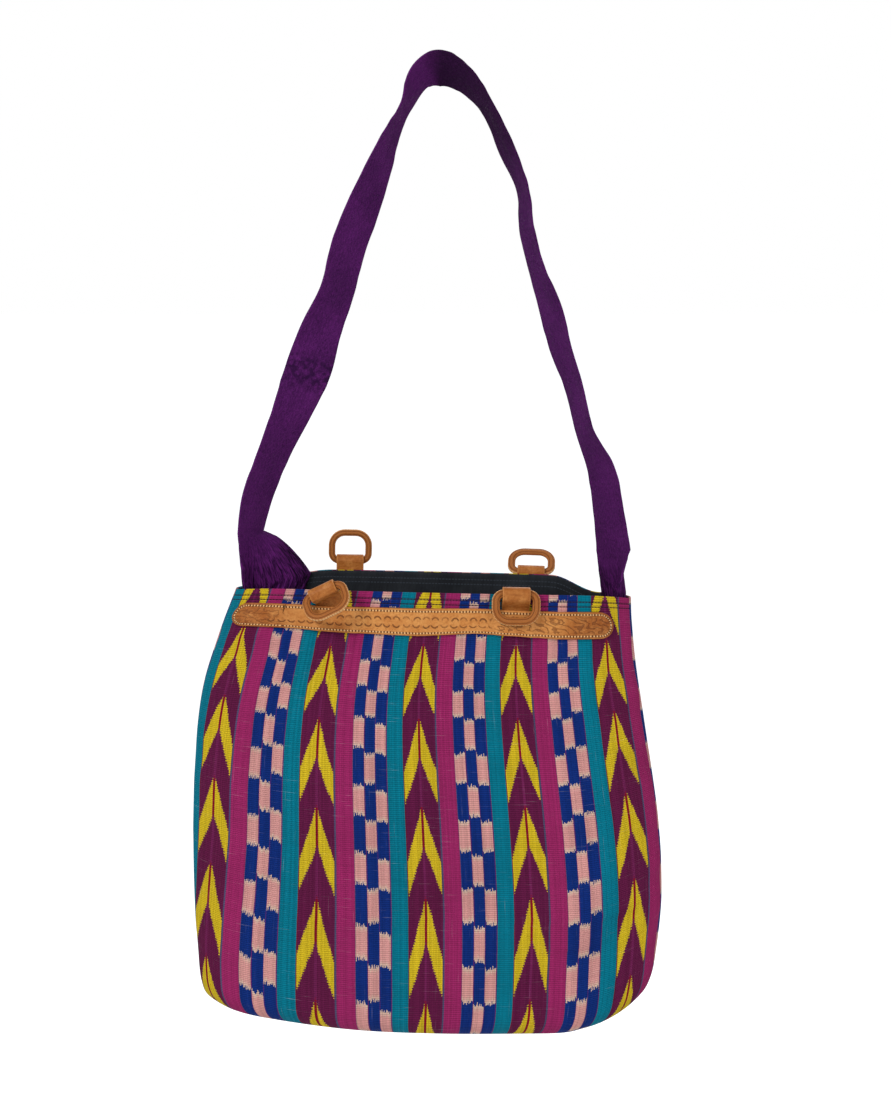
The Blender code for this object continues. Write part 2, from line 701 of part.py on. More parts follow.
def make_ring(name, tab):
    centre, axis, hang, normal = ring_axes(tab)
    line = np.array([axis * across + hang * down for across, down in ring_line(tab)])
    count = len(line)
    points = []
    for index in range(count):
        tangent = unit(line[(index + 1) % count] - line[index - 1])
        sideways = unit(np.cross(tangent, normal))
        for side in range(RING_SIDES):
            angle = 2 * math.pi * (side + 0.5) / RING_SIDES
            points.append(centre + line[index] + sideways * (tab.ring_band / 2 * math.cos(angle))
                          + normal * (RING_THICKNESS / 2 * math.sin(angle)))
    triangles = []
    for index in range(count):
        here, there = index * RING_SIDES, (index + 1) % count * RING_SIDES
        for side in range(RING_SIDES):
            after = (side + 1) % RING_SIDES
            quad = (here + side, there + side, there + after, here + after)
            triangles += two_triangles(quad, False)
    return make_object(name, points, triangles, [TAN])


# The strap: a twisting ribbon between two pleated fans
def strap_rows():
    """The ribbon's rows: its middle line is smooth, and its tilt gives the width seen."""
    knots = np.array([station[:4] for station in STRAP_ROUTE])
    tangents = np.gradient(knots, axis=0)
    samples = []
    for index, station in enumerate(STRAP_ROUTE[:-1]):
        samples += [hermite(knots, tangents, index, step / station[4]) for step in range(station[4])]
    samples.append(knots[-1])
    samples = np.array(samples)
    forward = np.gradient(samples[:, :3], axis=0)
    offsets = np.linspace(-1.0, 1.0, STRAP_COLUMNS + 1) * STRAP_WIDTH / 2
    rows = []
    for sample, heading in zip(samples, forward):
        heading = unit(heading * np.array([1.0, 0.0, 1.0]))
        inward = np.array([heading[2], 0.0, -heading[0]])
        cosine = min(1.0, sample[3] / STRAP_WIDTH)
        across = inward * cosine + np.array([0.0, 1.0, 0.0]) * math.sqrt(1 - cosine * cosine)
        rows.append(sample[:3] + offsets[:, None] * across)
    return np.array(rows)


def corner_wall(corner, reach, down, clearance):
    """A point inside the mouth's corner, off the lining by a clearance.

    The reach is a distance along the back wall from the corner, or the front if negative.
    """
    side = "back lining" if reach > 0 else "front lining"
    share = abs(reach) / row_length(side, down)
    lift = lining_lift(down) - LINING - clearance
    return wall(side, share if corner == "left" else 1 - share, down, lift)


def fan_rows(corner, edge):
    """Rows from the ribbon's end down to where the fan is sewn inside the corner."""
    fan = FANS[corner]
    clearance = GAP + FAN_EASE + STRAP_THICKNESS / 2 + fan.pleat
    reaches = np.linspace(-fan.front_reach, fan.back_reach, STRAP_COLUMNS + 1)
    at_rim = np.array([corner_wall(corner, reach, 0.0, clearance) for reach in reaches])
    rows = []
    for step in range(1, FAN_ROWS + 1):
        share = step / FAN_ROWS
        row = []
        for column, (start, end) in enumerate(zip(edge, at_rim)):
            raised = (column / STRAP_COLUMNS) ** 1.5 * fan.stand
            middle = (start + end) / 2 + np.array([0.0, 0.0, raised])
            row.append((1 - share) ** 2 * start + 2 * share * (1 - share) * middle + share ** 2 * end)
        rows.append(row)
    for depth in (fan.sewn / 2, fan.sewn):
        rows.append([corner_wall(corner, reach, down_share(depth), clearance) for reach in reaches])
    return np.array(rows)


def pleat_depths(rows_before, pleat):
    """How far each row of a fan is pushed to and fro: none at the ribbon, full at the wall."""
    growth = smoothstep(0.0, 1.0, (np.arange(rows_before) + 1) / FAN_ROWS)
    sign = np.where(np.arange(STRAP_COLUMNS + 1) % 2 == 0, 1.0, -1.0)
    return pleat * growth[:, None] * sign[None, :]


def make_strap():
    ribbon = strap_rows()
    left = fan_rows("left", ribbon[0])
    right = fan_rows("right", ribbon[-1])
    middle = np.concatenate([left[::-1], ribbon, right])
    pleats = np.zeros(middle.shape[:2])
    pleats[:len(left)] = pleat_depths(len(left), FANS["left"].pleat)[::-1]
    pleats[len(middle) - len(right):] = pleat_depths(len(right), FANS["right"].pleat)
    normals = grid_normals(middle)
    middle = middle + normals * pleats[:, :, None]
    half = normals * STRAP_THICKNESS / 2
    points, triangles, _ = shell(middle + half, middle - half)
    return make_object("strap", points, triangles, [PURPLE])


def main():
    clear_scene()
    make_panel("front_panel", "front", 1)
    make_panel("back_panel", "back", 2)
    make_lining()
    make_band("front_band", "front")
    make_band("back_band", "back")
    for name, tab in TABS.items():
        make_tab(f"{name}_tab", tab)
        make_ring(f"{name}_ring", tab)
    make_strap()


main()
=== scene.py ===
# %% [markdown]
# A cloth shoulder bag hangs from the crest of its strap. Two panels of ikat cloth carry arrows
# and checks that were tied and dyed into the warp. Tooled leather bands cross the mouth, and
# each holds two folded tabs with a leather ring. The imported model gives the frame: each piece
# made here lies where its plain solid lies, and shows what the solid leaves out.

# %% Load the frame
import functools
import math

import bpy
import numpy as np
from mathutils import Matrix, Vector


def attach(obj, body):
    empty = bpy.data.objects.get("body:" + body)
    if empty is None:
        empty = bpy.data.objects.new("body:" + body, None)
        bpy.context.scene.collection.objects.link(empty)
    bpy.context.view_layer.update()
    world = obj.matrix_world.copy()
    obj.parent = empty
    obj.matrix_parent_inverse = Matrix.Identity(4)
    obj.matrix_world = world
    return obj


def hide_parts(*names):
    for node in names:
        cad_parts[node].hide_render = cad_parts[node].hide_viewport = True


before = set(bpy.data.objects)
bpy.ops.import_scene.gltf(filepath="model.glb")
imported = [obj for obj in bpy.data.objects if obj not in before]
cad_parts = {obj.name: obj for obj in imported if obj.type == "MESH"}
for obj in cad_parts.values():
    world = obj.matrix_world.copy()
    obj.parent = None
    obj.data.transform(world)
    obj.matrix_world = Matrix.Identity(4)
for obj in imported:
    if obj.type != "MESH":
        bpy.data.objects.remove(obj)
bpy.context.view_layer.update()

# %% [markdown]
# The camera looks straight at the front, ten degrees down, from two metres away. The focal
# length follows from the size at which the bag fills the picture.

# %% Camera
AIM = Vector((0.00697, 0.0, -0.39170947))
CAMERA_DISTANCE = 2.0
CAMERA_DROP = math.radians(10.0)
FOCAL_LENGTH = 78.8195

camera_data = bpy.data.cameras.new("camera")
camera_data.lens = FOCAL_LENGTH
camera_data.sensor_fit = "VERTICAL"
camera_data.sensor_height = 36.0
camera = bpy.data.objects.new("camera", camera_data)
camera.location = AIM + CAMERA_DISTANCE * Vector((0, -math.cos(CAMERA_DROP), math.sin(CAMERA_DROP)))
camera.rotation_euler = (math.pi / 2 - CAMERA_DROP, 0.0, 0.0)
bpy.context.scene.collection.objects.link(camera)
bpy.context.scene.camera = camera
print("camera at", tuple(round(value, 3) for value in camera.location))

# %% [markdown]
# Soft studio light shows cloth well: one wide lamp from the upper left for the folds, one
# weaker lamp from the right, and one behind for the edges.

# %% Lamps
view_settings = bpy.context.scene.view_settings
view_settings.view_transform = "Standard"


def lamp(name, place, size, watts):
    data = bpy.data.lights.new(name, "AREA")
    data.shape = "DISK"
    data.size = size
    data.energy = watts
    item = bpy.data.objects.new(name, data)
    item.location = place
    item.rotation_euler = (AIM - Vector(place)).to_track_quat("-Z", "Y").to_euler()
    bpy.context.scene.collection.objects.link(item)
    return item


lamp("key", (-1.5, -1.9, 1.1), 1.1, 42.0)
lamp("fill", (1.8, -1.6, 0.1), 1.6, 12.0)
lamp("back", (0.5, 2.0, 0.9), 1.2, 16.0)
print("lamps: key, fill and back")

# %% [markdown]
# Every material is made of shader nodes. This helper adds a node, feeds its inputs with sockets
# or numbers, and gives back its output, so a material reads like a sum.

# %% Shader helpers
class Net:
    """Adds shader nodes to one node tree and links them; values may be sockets or numbers."""

    def __init__(self, tree):
        self.tree = tree

    def node(self, kind, settings=None, **inputs):
        made = self.tree.nodes.new(kind)
        for key, value in (settings or {}).items():
            setattr(made, key, value)
        for key, value in inputs.items():
            self.feed(made.inputs[key.replace("_", " ")], value)
        return made

    def feed(self, socket, value):
        if isinstance(value, bpy.types.NodeSocket):
            self.tree.links.new(value, socket)
        else:
            socket.default_value = value

    def math(self, operation, first, second=0.0, third=0.0, clamp=False):
        made = self.node("ShaderNodeMath", {"operation": operation, "use_clamp": clamp})
        for socket, value in zip(made.inputs, (first, second, third)):
            self.feed(socket, value)
        return made.outputs[0]

    def plus(self, first, second, clamp=False):
        return self.math("ADD", first, second, clamp=clamp)

    def minus(self, first, second, clamp=False):
        return self.math("SUBTRACT", first, second, clamp=clamp)

    def times(self, first, second):
        return self.math("MULTIPLY", first, second)

    def times_plus(self, first, second, third):
        return self.math("MULTIPLY_ADD", first, second, third)

    def over(self, first, second):
        return self.math("DIVIDE", first, second)

    def away(self, value, centre):
        """The distance of a value from a centre, without its sign."""
        return self.math("ABSOLUTE", self.minus(value, centre))

    def step(self, value, low, high, start=0.0, end=1.0):
        made = self.node("ShaderNodeMapRange", {"interpolation_type": "SMOOTHSTEP"})
        for key, number in zip(("Value", "From Min", "From Max", "To Min", "To Max"),
                               (value, low, high, start, end)):
            self.feed(made.inputs[key], number)
        return made.outputs[0]

    def mix(self, factor, first, second):
        made = self.node("ShaderNodeMix", {"data_type": "RGBA"})
        self.feed(made.inputs[0], factor)
        self.feed(made.inputs[6], first)
        self.feed(made.inputs[7], second)
        return made.outputs[2]

    def noise(self, vector, scale, detail=2.0, roughness=0.5):
        made = self.node("ShaderNodeTexNoise", Vector=vector, Scale=scale, Detail=detail,
                         Roughness=roughness)
        return made.outputs[0]

    def white(self, value):
        made = self.node("ShaderNodeTexWhiteNoise", {"noise_dimensions": "1D"}, W=value)
        return made.outputs[0]

    def vector(self, x=0.0, y=0.0, z=0.0):
        made = self.node("ShaderNodeCombineXYZ", X=x, Y=y, Z=z)
        return made.outputs[0]

    def uv(self, name):
        made = self.node("ShaderNodeUVMap", {"uv_map": name})
        split = self.node("ShaderNodeSeparateXYZ", Vector=made.outputs[0])
        return made.outputs[0], split.outputs[0], split.outputs[1]

    def bump(self, height, strength, distance, normal=None):
        made = self.node("ShaderNodeBump", Strength=strength, Distance=distance, Height=height)
        if normal is not None:
            self.feed(made.inputs["Normal"], normal)
        return made.outputs[0]

    def use(self, group, **inputs):
        made = self.node("ShaderNodeGroup", {"node_tree": group})
        for key, value in inputs.items():
            self.feed(made.inputs[key.replace("_", " ")], value)
        return made


def srgb(red, green, blue):
    """A colour as a painter reads it, turned into the light it stands for."""
    def linear(value):
        return value / 12.92 if value <= 0.04045 else ((value + 0.055) / 1.055) ** 2.4
    return (linear(red), linear(green), linear(blue), 1.0)


def new_material(name):
    material = bpy.data.materials.new(name)
    material.use_nodes = True
    shader = material.node_tree.nodes["Principled BSDF"]
    return material, Net(material.node_tree), shader


def dress(net, shader, colour, roughness, specular, height, strength, depth):
    """Feeds the colour, the roughness and the bump of cloth or leather into its shader."""
    net.feed(shader.inputs["Base Color"], colour)
    net.feed(shader.inputs["Roughness"], roughness)
    shader.inputs["Specular IOR Level"].default_value = specular
    net.feed(shader.inputs["Normal"], net.bump(height, strength, depth))


print("shader helpers ready")

# %% [markdown]
# A pale world fills the shadows, and a pale floor lies under the hanging bag. Camera rays see
# the world and the far floor as white.

# %% World and floor
WHITE_SEEN = (1.0, 1.0, 1.0, 1.0)
WORLD_STRENGTH = 0.62
FLOOR_GLOW = 0.55
world = bpy.data.worlds.new("studio")
bpy.context.scene.world = world
world.use_nodes = True
net = Net(world.node_tree)
rays = net.node("ShaderNodeLightPath")
seen = net.math("MAXIMUM", rays.outputs["Is Camera Ray"], rays.outputs["Is Glossy Ray"])
soft = net.node("ShaderNodeBackground", Color=(0.93, 0.96, 1.0, 1.0), Strength=WORLD_STRENGTH)
white = net.node("ShaderNodeBackground", Color=WHITE_SEEN, Strength=1.0)
blend = net.node("ShaderNodeMixShader")
net.feed(blend.inputs[0], seen)
net.feed(blend.inputs[1], soft.outputs[0])
net.feed(blend.inputs[2], white.outputs[0])
net.feed(world.node_tree.nodes["World Output"].inputs[0], blend.outputs[0])

FLOOR_HEIGHT = -1.25
floor_mesh = bpy.data.meshes.new("floor")
REACH = 14.0
floor_mesh.from_pydata([(-REACH, -REACH, FLOOR_HEIGHT), (REACH, -REACH, FLOOR_HEIGHT),
                        (REACH, REACH, FLOOR_HEIGHT), (-REACH, REACH, FLOOR_HEIGHT)], [], [(0, 1, 2, 3)])
floor = bpy.data.objects.new("floor", floor_mesh)
bpy.context.scene.collection.objects.link(floor)
material, net, shader = new_material("pale floor")
net.feed(shader.inputs["Base Color"], (0.82, 0.82, 0.82, 1.0))
net.feed(shader.inputs["Roughness"], 0.9)
glow = net.node("ShaderNodeEmission", Color=WHITE_SEEN, Strength=FLOOR_GLOW)
rays = net.node("ShaderNodeLightPath")
lit = net.node("ShaderNodeAddShader")
net.feed(lit.inputs[0], shader.outputs[0])
net.feed(lit.inputs[1], glow.outputs[0])
pick = net.node("ShaderNodeMixShader")
net.feed(pick.inputs[0], rays.outputs["Is Camera Ray"])
net.feed(pick.inputs[1], shader.outputs[0])
net.feed(pick.inputs[2], lit.outputs[0])
net.feed(material.node_tree.nodes["Material Output"].inputs[0], pick.outputs[0])
floor_mesh.materials.append(material)
print("floor at", FLOOR_HEIGHT)

# %% [markdown]
# The cloth's surface is a patch between four edges: the rim, the two side seams and the sagging
# bottom. Its section is a flattened oval that closes to a rounded seam below. The numbers are
# those of the plain solids, so fine pieces lie where the solids lie.

# %% Sizes of the cloth
GAP = 0.0003
CLOTH = 0.0015
LINING = 0.0008
LINING_EASE = 0.0070
LINING_LEAVES = (0.075, 0.14)
STRAP_DROP = 0.4176
MOUTH_LEFT = 0.1652
MOUTH_RIGHT = 0.1595
MOUTH_SLOPE = 0.0075
MOUTH_HALF_DEPTH = 0.028
FRONT_RIM_RISE = 0.005
BACK_RIM_RISE = 0.0125
LEFT_HEIGHT = 0.353
RIGHT_HEIGHT = 0.342
LEFT_BULGE = 0.039
RIGHT_BULGE = 0.029
BOTTOM_SAG = 0.031
BELLY_HALF_DEPTH = 0.036
BOTTOM_ROUNDING = 0.07
SECTION_FLATNESS = 3.2
SECTION_ROUNDNESS = 2.2
LEFT_OUTLINE = [(0, 0), (0.39, 0.113), (0.77, 0.255), (0.95, 0.453), (1, 0.666), (0.95, 0.85),
                (0.85, 0.963), (0.67, 1)]
RIGHT_OUTLINE = [(0, 0), (0.03, 0.056), (0.17, 0.167), (0.45, 0.316), (0.86, 0.544), (1, 0.734),
                 (0.86, 0.889), (0.655, 0.965), (0.41, 1)]
BOTTOM_OUTLINE = [(0, 0), (0.066, 0.34), (0.16, 0.56), (0.344, 0.85), (0.53, 0.97), (0.72, 1),
                  (0.813, 1), (0.86, 0.9), (0.906, 0.73), (0.953, 0.43), (1, 0)]
FRONT_FOLDS = [(0.13, -0.03, 0.0040, 0.016, 0.11, 0.42), (0.31, -0.02, 0.0030, 0.012, 0.11, 0.30),
               (0.50, 0.02, 0.0040, 0.013, 0.11, 0.36), (0.79, 0.03, 0.0030, 0.014, 0.11, 0.33),
               (0.90, -0.10, 0.0045, 0.022, 0.72, 0.97), (0.78, -0.06, 0.0030, 0.020, 0.78, 0.97)]
BACK_FOLDS = [(0.22, 0.02, 0.0030, 0.014, 0.11, 0.34), (0.62, -0.02, 0.0040, 0.015, 0.11, 0.40)]
BILLOW = 0.0025
MIDDLE_HEIGHT = (LEFT_HEIGHT + RIGHT_HEIGHT) / 2 + BOTTOM_SAG + FRONT_RIM_RISE
CLOTH_WIDTH = 0.405
BAND_TOP_MARGIN = 0.0130
BAND_WIDTH = 0.0230
print("panel height in the middle:", round(MIDDLE_HEIGHT, 4))

# %% [markdown]
# Curves run smoothly through a few points and are sampled by their share of the whole length, so
# a place on an edge is one number between nought and one.

# %% Curves
def smoothstep(low, high, value):
    share = np.clip((value - low) / (high - low), 0.0, 1.0)
    return share * share * (3.0 - 2.0 * share)


def hermite(knots, tangents, index, share):
    square = share * share
    cube = square * share
    return ((2 * cube - 3 * square + 1) * knots[index] + (cube - 2 * square + share) * tangents[index]
            + (3 * square - 2 * cube) * knots[index + 1] + (cube - square) * tangents[index + 1])


def travel(points):
    """How far each point of a line lies from its start, along the line."""
    return np.concatenate([[0.0], np.cumsum(np.linalg.norm(np.diff(points, axis=0), axis=1))])


def smooth_curve(points, steps=12):
    """A smooth curve through the points: its points, and their share of its length."""
    knots = np.array(points, dtype=float)
    tangents = np.gradient(knots, axis=0)
    curve = [knots[0]]
    for index in range(len(knots) - 1):
        curve += [hermite(knots, tangents, index, (step + 1) / steps) for step in range(steps)]
    curve = np.array(curve)
    shares = travel(curve)
    return shares / shares[-1], curve


def point_on(curve, share):
    shares, points = curve
    return np.stack([np.interp(share, shares, points[:, axis]) for axis in range(points.shape[1])], -1)


LEFT_CORNER = np.array([-MOUTH_LEFT, -STRAP_DROP])
RIGHT_CORNER = np.array([MOUTH_RIGHT, -STRAP_DROP - MOUTH_SLOPE])
LEFT_EDGE = smooth_curve([(LEFT_CORNER[0] - LEFT_BULGE * out, LEFT_CORNER[1] - LEFT_HEIGHT * down)
                          for out, down in LEFT_OUTLINE])
RIGHT_EDGE = smooth_curve([(RIGHT_CORNER[0] + RIGHT_BULGE * out, RIGHT_CORNER[1] - RIGHT_HEIGHT * down)
                           for out, down in RIGHT_OUTLINE])
LEFT_FOOT = LEFT_EDGE[1][-1]
RIGHT_FOOT = RIGHT_EDGE[1][-1]
BOTTOM_EDGE = smooth_curve([LEFT_FOOT + (RIGHT_FOOT - LEFT_FOOT) * across - np.array([0, BOTTOM_SAG * sag])
                            for across, sag in BOTTOM_OUTLINE])
print("bottom corners:", np.round(LEFT_FOOT, 4).tolist(), "and", np.round(RIGHT_FOOT, 4).tolist())

# %% [markdown]
# One row of the cloth is worked out at a time: its four edges are blended across, and the oval
# section, the folds and the billow give its depth. A row is kept, so it is worked out only once.

# %% Rows of the cloth
def rim_line(side, across):
    if side.startswith("front"):
        rise = FRONT_RIM_RISE * (1 - abs(2 * across - 1) ** 8)
    else:
        rise = BACK_RIM_RISE * smoothstep(0.0, 0.24, across) * (1 - smoothstep(0.80, 0.92, across))
    straight = LEFT_CORNER + (RIGHT_CORNER - LEFT_CORNER) * np.asarray(across)[..., None]
    straight[..., 1] += rise
    return straight


def fold_depth(side, across, down):
    """Gathers under the band, folds at the lower corner and a slow billow."""
    if side.endswith("lining"):
        return 0.0
    quiet = smoothstep(0.10, 0.15, down) * (1 - smoothstep(0.93, 0.99, down))
    width = MOUTH_LEFT + MOUTH_RIGHT
    total = BILLOW * np.sin(2 * math.pi * (1.4 * across + 0.6 * down)) * np.sin(math.pi * down)
    for place, lean, depth, half_width, top, end in FRONT_FOLDS if side == "front" else BACK_FOLDS:
        along = (down - top) / (end - top)
        if 0.0 < along < 1.0:
            offset = (across - place - lean * along) * width / half_width
            total = total + depth * math.sin(math.pi * math.sqrt(along)) * np.exp(-offset * offset)
    return -quiet * total


@functools.lru_cache(maxsize=None)
def cloth_row(side, down):
    """The cloth's outer face at one share of its height, finely sampled from left to right."""
    across = 0.5 - 0.5 * np.cos(np.linspace(0.0, math.pi, 161))
    top = rim_line(side, across)
    bottom = point_on(BOTTOM_EDGE, across)
    left = point_on(LEFT_EDGE, down)
    right = point_on(RIGHT_EDGE, down)
    share = across[:, None]
    flat = ((1 - down) * top + down * bottom + (1 - share) * left + share * right
            - (1 - down) * ((1 - share) * LEFT_CORNER + share * RIGHT_CORNER)
            - down * ((1 - share) * LEFT_FOOT + share * RIGHT_FOOT))
    section = (1 - np.abs(2 * across - 1) ** SECTION_FLATNESS) ** (1 / SECTION_ROUNDNESS)
    belly = math.sin(0.5 * math.pi * min(1.0, down / 0.45))
    half_depth = MOUTH_HALF_DEPTH + (BELLY_HALF_DEPTH - MOUTH_HALF_DEPTH) * belly
    near_end = max(0.0, (down - 1 + BOTTOM_ROUNDING) / BOTTOM_ROUNDING)
    closing = math.sqrt(max(0.0, 1 - near_end * near_end))
    depth = GAP / 2 + section * (half_depth + fold_depth(side, across, down)) * closing
    sign = -1.0 if side.startswith("front") else 1.0
    points = np.stack([flat[:, 0], sign * depth, flat[:, 1]], axis=1)
    shares = travel(points)
    return shares / shares[-1], points, shares[-1]


def lining_lift(down):
    """How far the lining's outer face stands off the cloth's outer face: it is inside."""
    return -CLOTH - GAP - LINING_EASE * smoothstep(*LINING_LEAVES, down)


def row_at(side, down):
    return cloth_row(side, round(float(down), 6))


def on_cloth(side, along, down):
    shares, points, _ = row_at(side, down)
    return point_on((shares, points), float(along))


def row_length(side, down):
    return row_at(side, down)[2]


def share_at(side, down, x):
    shares, points, _ = row_at(side, down)
    return float(np.interp(x, points[:, 0], shares))


def down_share(distance):
    return distance / MIDDLE_HEIGHT


print("cloth's width at the mouth:", round(float(row_length("front", 0.0)), 4))

# %% [markdown]
# Pieces stand off the cloth along its normal. On a seam the two walls meet, so there the normal
# lies in the seam's own plane and both walls share it.

# %% Normals and grids on the cloth
def unit(vector):
    return vector / np.linalg.norm(vector)


def cloth_normal(side, along, down):
    """The cloth's outward normal; on a seam it lies in the seam's plane."""
    step = 0.002
    on_side_seam = along <= 0 or along >= 1
    if on_side_seam and down >= 1:
        beside = step if along <= 0 else 1 - step
        return unit(cloth_normal(side, along, 1 - step) + cloth_normal(side, beside, 1.0))
    across = on_cloth(side, min(1, along + step), down) - on_cloth(side, max(0, along - step), down)
    drop = on_cloth(side, along, min(1, down + step)) - on_cloth(side, along, max(0, down - step))
    normal = np.cross(drop, across) if side.startswith("front") else np.cross(across, drop)
    if on_side_seam or down >= 1:
        normal[1] = 0.0
    return unit(normal)


def wall(side, along, down, lift):
    """A point that stands off the cloth's outer face, outwards for a positive lift."""
    return on_cloth(side, along, down) + lift * cloth_normal(side, along, down)


def cloth_grid(side, alongs, downs):
    """The cloth's outer face and its outward normals on a grid of rows and columns."""
    grid = np.array([point_on(row_at(side, down)[:2], alongs) for down in downs])
    normals = np.cross(np.gradient(grid, axis=0), np.gradient(grid, axis=1))
    normals[:, (0, -1), 1] *= 0.0
    lengths = np.linalg.norm(normals, axis=2, keepdims=True)
    normals /= np.maximum(lengths, 1e-12)
    for column, beside in ((0, 1), (-1, -2)):
        if lengths[-1, column, 0] < 1e-12:
            normals[-1, column] = unit(normals[-2, column] + normals[-1, beside])
    return grid, normals if side.startswith("front") else -normals


print("outwards in the middle of the front:", np.round(cloth_normal("front", 0.5, 0.5), 3).tolist())

# %% [markdown]
# Most pieces here are sheets: a grid of points for the face, a second grid for the reverse, and a
# rim that joins them. Each point also keeps its place on the flat material in metres, as a UV
# map, so weave and stitches keep their true size.

# %% Meshes from grids
def grid_faces(rows, columns, flip=False, start=0, wrap=False):
    """The quads of a grid; wrap joins its last column to its first."""
    faces = []
    for row in range(rows - 1):
        for column in range(columns if wrap else columns - 1):
            after = (column + 1) % columns
            quad = (start + row * columns + column, start + (row + 1) * columns + column,
                    start + (row + 1) * columns + after, start + row * columns + after)
            faces.append(quad[::-1] if flip else quad)
    return faces


def rim_faces(rows, columns, flip=False):
    rim = [row * columns for row in range(rows)]
    rim += [(rows - 1) * columns + column for column in range(1, columns)]
    rim += [row * columns + columns - 1 for row in range(rows - 2, -1, -1)]
    rim += list(range(columns - 2, 0, -1))
    count = rows * columns
    faces = []
    for first, second in zip(rim, rim[1:] + rim[:1]):
        quad = (second, first, count + first, count + second)
        faces.append(quad[::-1] if flip else quad)
    return faces


def new_piece(name, points, faces, material, body, maps=None, sharp=None):
    """A mesh object that rides on a body; maps gives each point a place on named UV maps."""
    mesh = bpy.data.meshes.new(name)
    mesh.from_pydata([tuple(point) for point in points], [], faces)
    for key, places in (maps or {}).items():
        layer = mesh.uv_layers.new(name=key)
        corners = np.empty(len(mesh.loops), dtype=np.int32)
        mesh.loops.foreach_get("vertex_index", corners)
        layer.data.foreach_set("uv", np.asarray(places, dtype=np.float32)[corners].ravel())
    mesh.materials.append(material)
    mesh.shade_smooth()
    if sharp:
        mesh.set_sharp_from_angle(angle=math.radians(sharp))
    item = bpy.data.objects.new(name, mesh)
    bpy.context.scene.collection.objects.link(item)
    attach(item, body)
    return item


def sheet_piece(name, face, reverse, material, body, slot, maps, flip=False, sharp=None):
    """A closed sheet between its face and its reverse, both grids of the same size."""
    rows, columns = face.shape[:2]
    points = np.concatenate([face.reshape(-1, 3), reverse.reshape(-1, 3)])
    faces = grid_faces(rows, columns, flip)
    faces += grid_faces(rows, columns, not flip, rows * columns)
    faces += rim_faces(rows, columns, flip)
    doubled = {key: np.concatenate([places.reshape(-1, 2)] * 2) for key, places in maps.items()}
    return new_piece(name, points, faces, material, body, doubled, sharp)


def smooth_noise(places, seed, cells):
    """Smooth random values between -1 and 1 at places given in cells of a repeating grid."""
    rng = np.random.default_rng(seed)
    table = rng.uniform(-1.0, 1.0, cells)
    x = np.asarray(places[0], dtype=float)
    y = np.asarray(places[1], dtype=float)
    fx = x - np.floor(x)
    fy = y - np.floor(y)
    fx = fx * fx * (3 - 2 * fx)
    fy = fy * fy * (3 - 2 * fy)
    x0 = np.floor(x).astype(int) % cells[0]
    y0 = np.floor(y).astype(int) % cells[1]
    x1 = (x0 + 1) % cells[0]
    y1 = (y0 + 1) % cells[1]
    return ((table[x0, y0] * (1 - fx) + table[x1, y0] * fx) * (1 - fy)
            + (table[x0, y1] * (1 - fx) + table[x1, y1] * fx) * fy)


print("mesh helpers ready")

# %% [markdown]
# Weave is shared by the ikat, the lining and the strap: fine ribs across the cloth, where the
# weft lies, and finer threads along it. The group gives a height and a shade: painted shade in
# the grooves between the ribs, mixed with a real tone for each thread. Each material sets the
# pitch of both in metres.

# %% Weave group
def new_group(name, inputs, outputs):
    group = bpy.data.node_groups.new(name, "ShaderNodeTree")
    for title, kind, value in inputs:
        socket = group.interface.new_socket(title, in_out="INPUT", socket_type=kind)
        if value is not None:
            socket.default_value = value
    for title, kind in outputs:
        group.interface.new_socket(title, in_out="OUTPUT", socket_type=kind)
    net = Net(group)
    source = net.node("NodeGroupInput")
    sink = net.node("NodeGroupOutput")
    return group, net, source.outputs, sink.inputs


FLOAT = "NodeSocketFloat"
VECTOR = "NodeSocketVector"
COLOUR = "NodeSocketColor"

weave, net, given, result = new_group(
    "Weave",
    [("Place", VECTOR, None), ("Rib Pitch", FLOAT, 0.0016), ("Thread Pitch", FLOAT, 0.0007),
     ("Unevenness", FLOAT, 0.4)],
    [("Height", FLOAT), ("Shade", FLOAT)])
split = net.node("ShaderNodeSeparateXYZ", Vector=given["Place"])
wander = net.noise(given["Place"], 90.0, 2.0)
wander = net.times(net.minus(wander, 0.5), given["Unevenness"])
rib = net.plus(net.over(split.outputs[1], given["Rib Pitch"]), wander)
rib = net.math("SINE", net.times(rib, 2 * math.pi))
rib = net.times_plus(rib, 0.5, 0.5)
thread = net.over(split.outputs[0], given["Thread Pitch"])
number = net.math("FLOOR", thread)
across = net.math("SINE", net.times(thread, 2 * math.pi))
across = net.times_plus(across, 0.5, 0.5)
tone = net.white(number)
height = net.plus(net.times(rib, 0.62), net.times(across, 0.38))
net.feed(result["Height"], height)
fine = net.noise(given["Place"], 1400.0, 2.0, 0.6)
# Painted shade in the grooves between the ribs, and a random tone for each thread
shade = net.plus(net.times(rib, 0.45), net.times(tone, 0.30))
shade = net.plus(shade, net.times(fine, 0.45))
net.feed(result["Shade"], net.minus(shade, 0.1, clamp=True))
print("group:", weave.name)

# %% [markdown]
# Ikat is dyed before it is woven. Bundles of warp are tied off, so each bundle takes the dye at a
# slightly different place, and every shape ends in small teeth. The pattern is therefore drawn
# with numbers: the place across tells the stripe, the bundle shifts the place along, and the
# place along tells arrow from ground and pink from blue.

# %% Ikat stripes
REPEAT = 84.0
ARROW_CENTRE = 200.1
ARROW_HALF = 13.3
BUNDLE = 0.62
LINE_HALF = 1.0
BLADE_LEAN = -0.0455
BLADE_SHARE = 0.44
TEETH_PITCH = 2.3
CHECK_START = 42.3
CHECK_COLUMN = 9.07
CHECK_PITCH = 0.757
CHECK_END = 69.4
CHECK_LINES = (51.35, 60.35)
CHECK_LINE_HALF = 0.25
BLOCK_SHARE = 0.44
